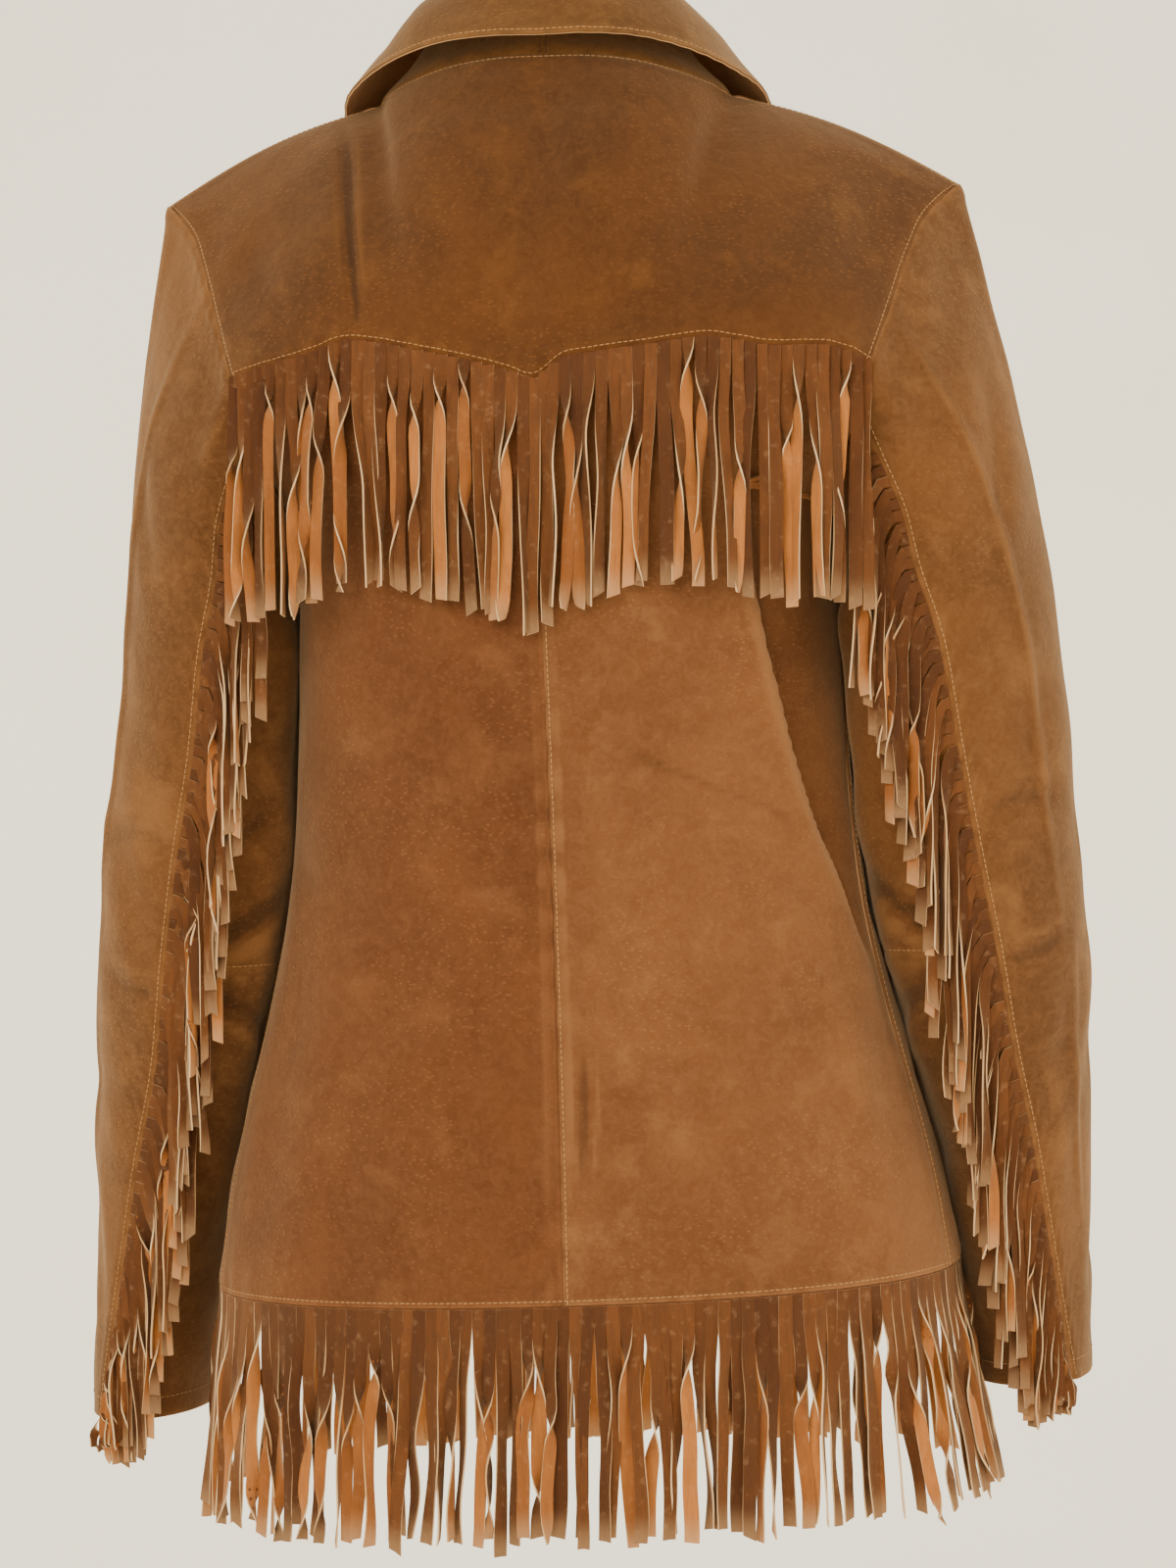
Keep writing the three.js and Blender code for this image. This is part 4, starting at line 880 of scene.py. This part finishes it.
# ---------------------------------------------------------------- finishes
class Nodes:
    """Short ways to make and join shader nodes."""

    def __init__(self, name):
        self.material = bpy.data.materials.new(name)
        self.material.use_nodes = True
        self.tree = self.material.node_tree
        self.shader = self.tree.nodes["Principled BSDF"]
        self.where = self.tree.nodes.new("ShaderNodeTexCoord").outputs["Object"]

    def join(self, a, b):
        self.tree.links.new(a, b)

    def put(self, socket, value):
        if hasattr(value, "links"):
            self.join(value, socket)
        else:
            socket.default_value = value

    def stretched(self, scale):
        node = self.tree.nodes.new("ShaderNodeMapping")
        node.inputs["Scale"].default_value = scale
        self.join(self.where, node.inputs["Vector"])
        return node.outputs["Vector"]

    def noise(self, scale, detail=3.0, rough=0.55, distortion=0.0, vector=None):
        node = self.tree.nodes.new("ShaderNodeTexNoise")
        self.join(vector or self.where, node.inputs["Vector"])
        sockets = {"Scale": scale, "Detail": detail, "Roughness": rough, "Distortion": distortion}
        for name, value in sockets.items():
            node.inputs[name].default_value = value
        return node.outputs["Fac"]

    def cells(self, scale, vector=None):
        node = self.tree.nodes.new("ShaderNodeTexVoronoi")
        node.inputs["Scale"].default_value = scale
        self.join(vector or self.where, node.inputs["Vector"])
        return node.outputs["Distance"]

    def span(self, value, low, high, to_low=0.0, to_high=1.0):
        node = self.tree.nodes.new("ShaderNodeMapRange")
        node.interpolation_type = "SMOOTHSTEP"
        self.put(node.inputs["Value"], value)
        for name, v in (("From Min", low), ("From Max", high), ("To Min", to_low), ("To Max", to_high)):
            node.inputs[name].default_value = v
        return node.outputs["Result"]

    def math(self, kind, a, b=0.0):
        node = self.tree.nodes.new("ShaderNodeMath")
        node.operation = kind
        self.put(node.inputs[0], a)
        self.put(node.inputs[1], b)
        return node.outputs[0]

    def mix(self, share, a, b, kind="MIX"):
        node = self.tree.nodes.new("ShaderNodeMix")
        node.data_type, node.blend_type = "RGBA", kind
        self.put(node.inputs[0], share)
        for socket, value in ((node.inputs[6], a), (node.inputs[7], b)):
            self.put(socket, (*value, 1) if isinstance(value, tuple) else value)
        return node.outputs[2]

    def point_value(self, name):
        node = self.tree.nodes.new("ShaderNodeAttribute")
        node.attribute_name = name
        return node.outputs["Fac"]

    def bump(self, height, distance, strength=1.0, under=None):
        node = self.tree.nodes.new("ShaderNodeBump")
        node.inputs["Strength"].default_value = strength
        node.inputs["Distance"].default_value = distance
        self.join(height, node.inputs["Height"])
        if under:
            self.join(under, node.inputs["Normal"])
        return node.outputs["Normal"]

    def done(self, color, roughness, normal, sheen=0.3, tint=(0.9, 0.6, 0.35)):
        s = self.shader.inputs
        self.put(s["Base Color"], color)
        self.put(s["Roughness"], roughness)
        self.join(normal, s["Normal"])
        s["Sheen Weight"].default_value = sheen
        s["Sheen Roughness"].default_value = 0.55
        s["Sheen Tint"].default_value = (*tint, 1)
        s["Specular IOR Level"].default_value = 0.18
        return self.material


INSIDE = (0.34, 0.12, 0.032)
CUT_EDGE = (0.56, 0.34, 0.17)


def tint(color, factor):
    return tuple(min(1, c * factor) for c in color)


def suede(name, dark, mid, light, pores=1.0):
    """Napped pigskin suede: blotches, brushed nap, short pale pores, rubbed ridges and seams, and painted
    shade in the hollows.
    """
    n = Nodes(name)
    blotch = n.noise(8.5, 4, 0.6, 0.6)
    cloud = n.noise(30, 5, 0.62, 0.4)
    nap = n.noise(170, 4, 0.65, 1.2)
    fibre = n.noise(1500, 2, 0.6)
    color = n.mix(n.span(blotch, 0.36, 0.66), dark, mid)
    color = n.mix(n.span(cloud, 0.5, 0.76, 0, 0.6), color, light)
    color = n.mix(n.span(n.noise(21, 6, 0.7, 1.5), 0.54, 0.7, 0, 0.5), color, dark)
    color = n.mix(n.span(nap, 0.3, 0.75, 0, 0.3), color, light)
    wear = n.math("MULTIPLY", n.point_value("wear"), n.span(n.noise(95, 4), 0.28, 0.66, 0.2, 1))
    color = n.mix(n.math("MULTIPLY", wear, 0.75), color, tint(light, 1.25))
    crest = n.point_value("crest")
    color = n.mix(n.span(crest, 0.08, 0.8, 0, 0.75), color, light)
    # painted shade: the hollows and creases darkened, where shade would fall
    color = n.mix(n.span(crest, -0.08, -0.8, 0, 0.7), color, tint(dark, 0.55))
    dashes = n.cells(430, n.stretched((0.62, 0.62, 1.0)))
    fine_pores = n.cells(640, n.stretched((0.7, 0.7, 1.0)))
    patch = n.span(n.noise(14, 2), 0.38, 0.62, 0.25, 1)
    pore = n.math("MULTIPLY", n.span(dashes, 0.34, 0.16), patch)
    color = n.mix(n.math("MULTIPLY", pore, 0.32 * pores), color, tint(light, 1.35))
    pit = n.math("MULTIPLY", n.span(fine_pores, 0.22, 0.08), 0.35 * pores)
    color = n.mix(pit, color, tint(dark, 0.5))
    inside = n.mix(n.span(nap, 0.3, 0.7), INSIDE, tint(INSIDE, 0.8))
    face = n.point_value("inside")
    color = n.mix(n.span(face, 0.05, 0.5), color, CUT_EDGE)
    color = n.mix(n.span(face, 0.55, 0.95), color, inside)
    height = n.math("ADD", n.math("MULTIPLY", pore, -0.6), n.math("MULTIPLY", nap, 0.7))
    normal = n.bump(height, 0.0005, 0.5, n.bump(cloud, 0.0022, 0.45))
    normal = n.bump(fibre, 0.0002, 0.55, normal)
    return n.done(color, n.span(nap, 0.2, 0.8, 0.96, 0.82), normal)


def strand_finish(name, low, high, streaks, pale=0.0):
    """One face of the strands, uneven from strand to strand and brushed along its length."""
    n = Nodes(name)
    streak = n.noise(420, 4, 0.6, 0.3, n.stretched((1.0, 1.0, 0.16)))
    own, patch = n.math("MULTIPLY", n.point_value("tone"), 0.6), n.math("MULTIPLY", n.noise(36, 4), 0.4)
    tone = n.math("ADD", own, patch)
    color = n.mix(n.span(tone, 0.15, 0.8), low, high)
    color = n.mix(n.span(streak, 0.35, 0.7, 0, streaks), color, tint(low, 0.55))
    color = n.mix(n.span(n.noise(210, 3), 0.55, 0.75, 0, 0.1), color, CUT_EDGE)
    color = n.mix(n.span(n.point_value("depth"), 0.86, 1.0, 0, 0.25 + pale), color, CUT_EDGE)
    normal = n.bump(streak, 0.0004, 0.6, n.bump(n.noise(1400, 2), 0.00015, 0.5))
    return n.done(color, n.span(streak, 0.2, 0.8, 0.9, 0.75), normal, 0.2)


def thread_finish(name, color):
    n = Nodes(name)
    twist = n.noise(1900, 2, 0.5)
    shade = n.mix(n.span(twist, 0.3, 0.7), color, tint(color, 0.6))
    return n.done(shade, n.span(n.noise(60), 0.3, 0.7, 0.6, 0.75), n.bump(twist, 0.0001, 0.5), 0.1)


def horn_finish():
    n = Nodes("button_horn")
    grain = n.noise(210, 5, 0.6, 2.2, n.stretched((1, 1, 0.35)))
    color = n.mix(n.span(grain, 0.38, 0.66), (0.035, 0.014, 0.006), (0.2, 0.085, 0.03))
    made = n.done(color, n.span(n.noise(150, 3), 0.3, 0.7, 0.28, 0.42), n.bump(grain, 0.0001, 0.3), 0.0)
    n.shader.inputs["Specular IOR Level"].default_value = 0.5
    return made


SUEDE_YOKE = suede(
    "suede_yoke", (0.0438, 0.0119, 0.0009), (0.0685, 0.0193, 0.0016), (0.1143, 0.0399, 0.0054), 1.1
)
SUEDE_LEFT = suede(
    "suede_back_left", (0.0716, 0.0196, 0.0037), (0.1006, 0.0292, 0.006), (0.152, 0.0567, 0.0167), 1.15
)
SUEDE_RIGHT = suede(
    "suede_back_right", (0.0982, 0.0317, 0.0076), (0.1394, 0.0487, 0.013), (0.1963, 0.0827, 0.0286), 0.9
)
SUEDE_SLEEVE = suede(
    "suede_sleeve", (0.0684, 0.023, 0.0041), (0.1064, 0.0367, 0.0072), (0.1824, 0.0757, 0.0212), 0.6
)
SUEDE_COLLAR = suede(
    "suede_collar", (0.0612, 0.021, 0.0028), (0.0906, 0.0326, 0.0044), (0.1598, 0.0658, 0.0131), 0.5
)
STRANDS = [
    strand_finish("strand_outside", (0.058, 0.0165, 0.003), (0.112, 0.035, 0.0068), 0.35),
    strand_finish("strand_inside", (0.2, 0.06, 0.0108), (0.38, 0.13, 0.028), 0.3, 0.1),
    strand_finish("strand_cut_edge", (0.45, 0.26, 0.12), (0.62, 0.42, 0.23), 0.15, 0.2),
]
THREAD = thread_finish("thread", (0.42, 0.22, 0.085))
# dark thread of the collar stand, also used for the painted shade of the button holes
DARK_THREAD_AND_HOLE_SHADE = thread_finish("thread_dark_and_hole_shade", (0.07, 0.03, 0.012))
HORN = horn_finish()


# ---------------------------------------------------------------- the pieces
LAST = len(SLEEVE["ox"]) - 1
SIDES = ((1, "left"), (-1, "right"))
BACK_EDGES = ("last row", "first column", "last column")
CUFF_EDGES = ("first row", "first column", "last column")
BACK_STEP, COLLAR_STEP = 3.2, 3.0  # between the points of the backs, and of the collar
FALL_LIFT = 2.0  # how far the fall stands out over its own solid's inner face
clothes = {}


def cloth(name, grid, flip, sewn=EDGES, step=4.0):
    clothes[name] = Cloth(name, grid, flip, step, sewn)
    return clothes[name]


def creased(piece, *creases):
    for crease in creases:
        piece.crease(*crease)
    return piece


def fold_right_back(piece):
    """The long fold of the right back: a crest, and the cloth falling in behind it to the side."""
    x, z = -piece.p[..., 0] + LEAN * piece.p[..., 2] / -HEM_Z, piece.p[..., 2]
    fold = look_up(FOLD, "z", np.clip(z, FOLD["z"][0], FOLD["z"][-1]))
    end = look_up(BODY, "z", np.clip(z, HEM_Z, BODY["z"][-1]))["half"]
    past = np.maximum(x - fold["ridge"], 0)
    left_over = np.clip(1 - past / (end - fold["ridge"]), 0, 1)
    piece.raised -= 2.1 * fold["depth"] * (1 - np.exp(-(past / 6.5) ** 1.4)) * left_over
    piece.raised += 0.26 * fold["depth"] * np.exp(-((x - fold["ridge"] + 3) / 9) ** 2)


yoke = cloth("back_yoke", yoke_grid(), -1)
yoke.slack(0.7, 1, 80)
creased(
    yoke,
    (0.772, 0.03, 0.788, 0.9, 3.9, 3.0, 3, 0.12),
    (0.86, 0.05, 0.93, 0.6, 10, 1.5, -6),
    (0.12, 0.02, 0.05, 0.66, 9, 1.7, 6),
    (0.2, 0.25, 0.16, 0.75, 8, 1.0, 4),
    (0.36, 0.78, 0.66, 0.8, 9, 1.1, 5),
    (0.57, 0.0, 0.56, 0.45, 16, 1.0, 3),
)
yoke.pucker("first row", 0.35, 13, 2)

for side, label in SIDES:
    back = cloth(f"back_{label}", back_grid(side), -side, BACK_EDGES, BACK_STEP)
    back.slack(0.9 if side > 0 else 1.1, 11 if side > 0 else 12, 105)
    back.pucker("first row", 0.45, 15, 13 + side)
    back.pucker("first column", 0.4, 24, 15 + side, 7)
    back.crease(0.045, 0.02, 0.03, 0.7, 5, -1.1, 2)
    front = cloth(f"front_{label}", front_grid(side), side)
    front.slack(1.1, 17 + side, 95)
    front.pucker("first row", 0.5, 15, 19 + side)
    creased(
        front,
        (0.9, 0.55, 0.62, 0.78, 12, 3.2, 8, 0.3),
        (0.72, 0.97, 0.58, 0.72, 13, 2.4, -7),
        (0.82, 0.38, 0.45, 0.47, 11, 2.0, 9),
        (0.95, 0.3, 0.6, 0.27, 9, 2.2, 5, 0.3),
        (0.5, 0.02, 0.55, 0.34, 16, 2.6 + 0.6 * side, 6),
        (0.28, 0.03, 0.32, 0.24, 12, 1.8, -4),
    )
creased(
    clothes["back_left"],
    (0.95, 0.45, 0.55, 0.42, 13, 1.7, 6),
    (0.86, 0.02, 0.8, 0.52, 17, 2.6, 7),
    (0.5, 0.02, 0.56, 0.3, 22, 1.6, -5),
)
fold_right_back(clothes["back_right"])
creased(
    clothes["back_right"],
    (0.86, 0.435, 0.93, 0.335, 3.5, 1.8, 2, 0.4),
    (0.12, 0.6, 0.72, 0.47, 4.0, 0.9, -4, 0.4),
    (0.93, 0.3, 0.86, 0.03, 15, 2.4, -6),
    (0.62, 0.3, 0.7, 0.02, 20, 1.8, 5),
    (0.06, 0.27, 0.03, 0.1, 4.5, 1.6, 2, 0.5),
    (0.3, 0.02, 0.34, 0.22, 15, 1.3, 0),
)

for side, label in SIDES:
    grid = sleeve_grid(side, 0, LAST, FRONT_SEAM - SLEEVE_COLUMNS, BACK_SEAM)
    upper = cloth(f"sleeve_upper_{label}", grid, -side, CUFF_EDGES)
    upper.slack(0.8, 31 + side, 95)
    pressed = 0.69 if side > 0 else 0.79  # where the fold pressed down the outside of the sleeve is
    creased(
        upper,
        (pressed, 0.0, pressed + 0.01, 0.62, 3.6, -2.0, 2),
        (pressed - 0.04, 0.6, pressed + 0.02, 0.86, 5, -1.6, -4),
        (0.98, 0.42, 0.68, 0.52, 7, 1.9, 5, 0.3),
        (1.0, 0.56, 0.74, 0.6, 6, 1.5, -4, 0.3),
        (0.92, 0.68, 0.62, 0.73, 9, 1.2, 5),
        (0.62, 0.12, 0.86, 0.26, 10, 1.6, 6),
        (0.9, 0.06, 0.72, 0.16, 7, 1.3, -3),
        (0.2, 0.44, 0.46, 0.5, 9, 2.4, -6, 0.3),
        (0.15, 0.56, 0.42, 0.53, 8, 2.0, 5, 0.3),
        (0.25, 0.16, 0.4, 0.34, 11, 2.2, 5),
        (0.55, 0.87, 0.85, 0.92, 8, 1.2, 3),
    )
    upper.pucker("last column", 0.4, 15, 33 + side)
    upper.pucker("first row", 0.35, 14, 35 + side)
    grid = sleeve_grid(side, 0, ELBOW_ROW, BACK_SEAM, FRONT_SEAM)
    top = cloth(f"sleeve_under_top_{label}", grid, -side)
    top.slack(1.0, 37 + side, 70)
    creased(
        top,
        (0.1, 0.96, 0.45, 0.78, 8, 2.4, 5, 0.3),
        (0.06, 0.8, 0.3, 0.62, 7, 1.8, 4),
        (0.3, 0.55, 0.34, 0.25, 10, 1.6, 3),
    )
    grid = sleeve_grid(side, ELBOW_ROW, LAST, BACK_SEAM, FRONT_SEAM)
    low = cloth(f"sleeve_under_low_{label}", grid, -side, CUFF_EDGES)
    low.slack(0.9, 41 + side, 70)
    creased(low, (0.08, 0.03, 0.5, 0.18, 7, 2.2, -4, 0.3), (0.1, 0.2, 0.5, 0.3, 8, 1.6, 3))
    low.pucker("first row", 0.45, 11, 43 + side)
    edges = ("first row", "first column")
    cloth(f"collar_stand_{label}", stand_grid(side), -side, edges, COLLAR_STEP).slack(0.4, 45 + side, 40)
fall = cloth("collar_fall", fall_grid(), 1, (), COLLAR_STEP)
fall.p = fall.p + fall.n * FALL_LIFT
fall.slack(0.8, 49, 75)
creased(
    fall,
    (0.5, 0.15, 0.52, 0.8, 14, 0.9, 2),
    (0.3, 0.1, 0.33, 0.9, 12, 1.2, 3),
    (0.7, 0.15, 0.66, 0.9, 11, 1.1, -3),
)
fall.pucker("last row", 0.3, 12, 51, 6)

for piece in clothes.values():
    piece.settle()


# ---------------------------------------------------------------- objects, and what they stand for
FINISH = {
    "back_left": SUEDE_LEFT, "back_right": SUEDE_RIGHT,
    "front_left": SUEDE_LEFT, "front_right": SUEDE_RIGHT,
}


def belongs(obj, slot, *nodes):
    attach(obj, "root")
    if nodes:
        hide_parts(*nodes)
    return obj


def slot_of(name):
    """The slot of the suede that a piece is cut from."""
    return {"sleeve": "suede_sleeve", "collar": "suede_collar"}.get(name.split("_")[0], "suede_body")


for name, piece in clothes.items():
    finish = {"suede_sleeve": SUEDE_SLEEVE, "suede_collar": SUEDE_COLLAR}.get(slot_of(name))
    belongs(shell(piece, finish or FINISH.get(name, SUEDE_YOKE)), slot_of(name), name)


def joined_hem():
    """The hem of both backs as one cloth edge."""
    lines = []
    for label in ("right", "left"):
        line, normal = clothes[f"back_{label}"].line("first row", 0.0)
        order = slice(None, None, -1) if label == "right" else slice(1, None)
        lines.append((line[order], normal[order]))
    return tuple(np.concatenate([pair[k] for pair in lines]) for k in (0, 1))


yoke_fringe(yoke)
hem_fringe("fringe_hem_back", *joined_hem())
for side, label in SIDES:
    line, normal = clothes[f"front_{label}"].line("first row", 0.0)
    hem_fringe(f"fringe_hem_front_{label}", line[::side], normal[::side])
    under = (clothes[f"sleeve_under_{part}_{label}"] for part in ("top", "low"))
    sleeve_fringe(f"fringe_sleeve_{label}", side, *under)

# ---------------------------------------------------------------- stitching
LIFT = 0.12
# each piece's lines of stitches: the edge, and how far in from it
seams = {
    "back_yoke": [("first row", 2.4), ("first column", 2.6), ("last column", 2.6), ("last row", 2.6)],
    "back_left": [("first row", 2.4)],
    "back_right": [("first row", 2.4), ("first column", 2.2)],
    "front_left": [("first row", 2.4), ("first column", 5.0), ("last column", 2.4)],
    "front_right": [("first row", 2.4), ("first column", 5.0), ("last column", 2.4)],
    "collar_fall": [("last row", 2.8), ("first column", 2.8), ("last column", 2.8)],
}
for _, label in SIDES:
    seams[f"sleeve_upper_{label}"] = [("last column", 2.6), ("last row", 12.0)]
    seams[f"sleeve_under_top_{label}"] = [("last row", 2.2)]
    seams[f"sleeve_under_low_{label}"] = [("last row", 12.0)]
for name, lines in seams.items():
    found = [clothes[name].line(edge, distance, LIFT) for edge, distance in lines]
    belongs(stitch_mesh(f"stitches_{name}", found, THREAD), slot_of(name))
stand_lines = [clothes[f"collar_stand_{label}"].line("first column", 1.8, LIFT) for _, label in SIDES]
belongs(stitch_mesh("stitches_collar_stand", stand_lines, DARK_THREAD_AND_HOLE_SHADE), "suede_collar")


# ---------------------------------------------------------------- buttons
def turned(z_axis):
    z_axis = unit(np.asarray(z_axis, float))
    x_axis = unit(np.cross([0, 0, 1.0], z_axis))
    return np.stack([x_axis, np.cross(z_axis, x_axis), z_axis])


BUTTON = [
    (0.02, 0), (8.1, 0), (8.8, 0.3), (9, 0.9), (9, 1.9), (8.8, 2.6),
    (8.2, 3), (7.0, 3), (6.2, 2.7), (5.2, 2.2), (3.0, 2.1), (0.02, 2.1),
]
# profile of a low disc at each hole, which carries the holes' painted shade
HOLE_RIM = [(0.02, 2.1), (0.5, 2.12), (0.75, 2.2), (0.95, 2.16), (1.0, 2.05)]
HOLES = points((1.5, 1.5, 0), (-1.5, 1.5, 0), (-1.5, -1.5, 0), (1.5, -1.5, 0))
DISH, SEAT = 2.2, 0.35  # height of the thread's ends in the button, and gap under the button


def button(number):
    """A four-hole horn button where its solid is, square to the cloth it is sewn to."""
    centre = np.mean(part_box(f"button_{number}"), 0) / MM
    front = clothes["front_left"]
    gap = np.linalg.norm(front.p - centre, axis=2)
    i, j = np.unravel_index(gap.argmin(), gap.shape)
    normal = unit(front.n[max(i - 2, 0):i + 3, max(j - 1, 0):j + 2].reshape(-1, 3).mean(0))
    axes = turned(normal)
    seat = centre - normal * ((centre - front.p[i, j]) @ normal) + normal * SEAT
    verts, faces = lathe(BUTTON, 40)
    disc = mesh_object(f"button_{number}_disc", verts @ axes + seat, [faces], [HORN], flat_over=40)
    # dark discs at the four holes: painted shade of the holes, in the dark thread's finish
    rim, rim_faces = lathe(HOLE_RIM, 14)
    verts = np.concatenate([rim + hole for hole in HOLES])
    faces = np.concatenate([rim_faces + len(rim) * k for k in range(len(HOLES))])
    rims = mesh_object(f"button_{number}_holes", verts @ axes + seat, [faces], [DARK_THREAD_AND_HOLE_SHADE], flat_over=40)
    lines = []
    t = np.linspace(0, 1, 8)[:, None]
    for a, b in (HOLES[[0, 2]], HOLES[[1, 3]]):
        for shift in (-0.25, 0.25):
            path = lerp(a, b, t) + np.cross([0, 0, 1], unit(b - a)) * shift
            path[:, 2] += DISH + 0.55 * np.sin(math.pi * t[:, 0])
            lines.append((path @ axes + seat, np.repeat(normal[None], len(path), 0)))
    thread = stitch_mesh(f"button_{number}_thread", lines, THREAD, 1.0, 1.15, 0.3)
    belongs(disc, "button_horn", f"button_{number}")
    belongs(rims, "button_horn")
    belongs(thread, "button_horn")


for number in range(1, BUTTONS + 1):
    button(number)


# ---------------------------------------------------------------- room, light and camera, in metres
FLOOR_RADIUS, COVE, WALL_TOP, FLOOR_Z = 2.2, 1.2, 3.6, -1.42
WALL_GLOW = 0.5


def room():
    """A pale round room: a floor that rises in a wide cove to the wall."""
    cove = [k / 12 * math.pi / 2 for k in range(1, 13)]
    profile = [(0.01, 0), (0.8, 0), (1.6, 0), (FLOOR_RADIUS, 0)]
    profile += [(FLOOR_RADIUS + COVE * math.sin(a), COVE * (1 - math.cos(a))) for a in cove]
    profile += [(FLOOR_RADIUS + COVE, 2.0), (FLOOR_RADIUS + COVE, WALL_TOP)]
    verts, faces = lathe([(r / MM, (z + FLOOR_Z) / MM) for r, z in profile], 96)
    n = Nodes("wall")
    color = n.mix(n.span(n.noise(0.9, 3), 0.35, 0.65), (0.9, 0.85, 0.72), (0.94, 0.9, 0.79))
    wall = n.done(color, n.span(n.noise(40), 0.3, 0.7, 0.85, 0.95), n.bump(n.noise(300, 3), 0.0008, 0.2), 0)
    n.put(n.shader.inputs["Emission Color"], color)
    n.shader.inputs["Emission Strength"].default_value = WALL_GLOW
    mesh_object("room", verts, [faces], [wall])


def area_light(name, place, target, size, power, color):
    data = bpy.data.lights.new(name, "AREA")
    data.shape, data.size, data.energy, data.color = "SQUARE", size, power, color
    lamp = bpy.data.objects.new(name, data)
    bpy.context.scene.collection.objects.link(lamp)
    aim(lamp, place, unit(np.array(place) - np.array(target)))


def aim(obj, place, back, roll=0.0):
    """Puts an object in its place with its +Z along back, +Z of the world up, and rolls it."""
    right = unit(np.cross([0, 0, 1.0], back))
    up = np.cross(back, right)
    cos, sin = math.cos(roll), math.sin(roll)
    m = obj.matrix_world.copy()
    for column, axis in enumerate((right * cos - up * sin, right * sin + up * cos, back, place)):
        for i in range(3):
            m[i][column] = axis[i]
    obj.matrix_world = m


room()
area_light("key", (0.7, 2.3, 0.9), (0, 0, -0.4), 1.3, 46, (1.0, 0.97, 0.92))
area_light("fill", (-2.2, 1.6, -0.8), (0, 0, -0.6), 1.8, 25, (1.0, 0.98, 0.95))
area_light("front", (0.4, -2.6, 1.2), (0, 0, -0.4), 2.0, 30, (1.0, 0.98, 0.95))
world = bpy.data.worlds.new("studio")
world.use_nodes = True
sky = world.node_tree.nodes["Background"].inputs
sky["Color"].default_value, sky["Strength"].default_value = (0.93, 0.92, 0.88, 1), 0.7
bpy.context.scene.world = world

YAW, ROLL = math.radians(6), math.radians(0.3)
CAMERA_MM = (-173.4, 1500.1, -392)
data = bpy.data.cameras.new("camera")
data.sensor_fit, data.sensor_height, data.lens = "VERTICAL", 36, 63
camera = bpy.data.objects.new("camera", data)
bpy.context.scene.collection.objects.link(camera)
aim(camera, [v * MM for v in CAMERA_MM], np.array([-math.sin(YAW), math.cos(YAW), 0]), ROLL)
bpy.context.scene.camera = camera
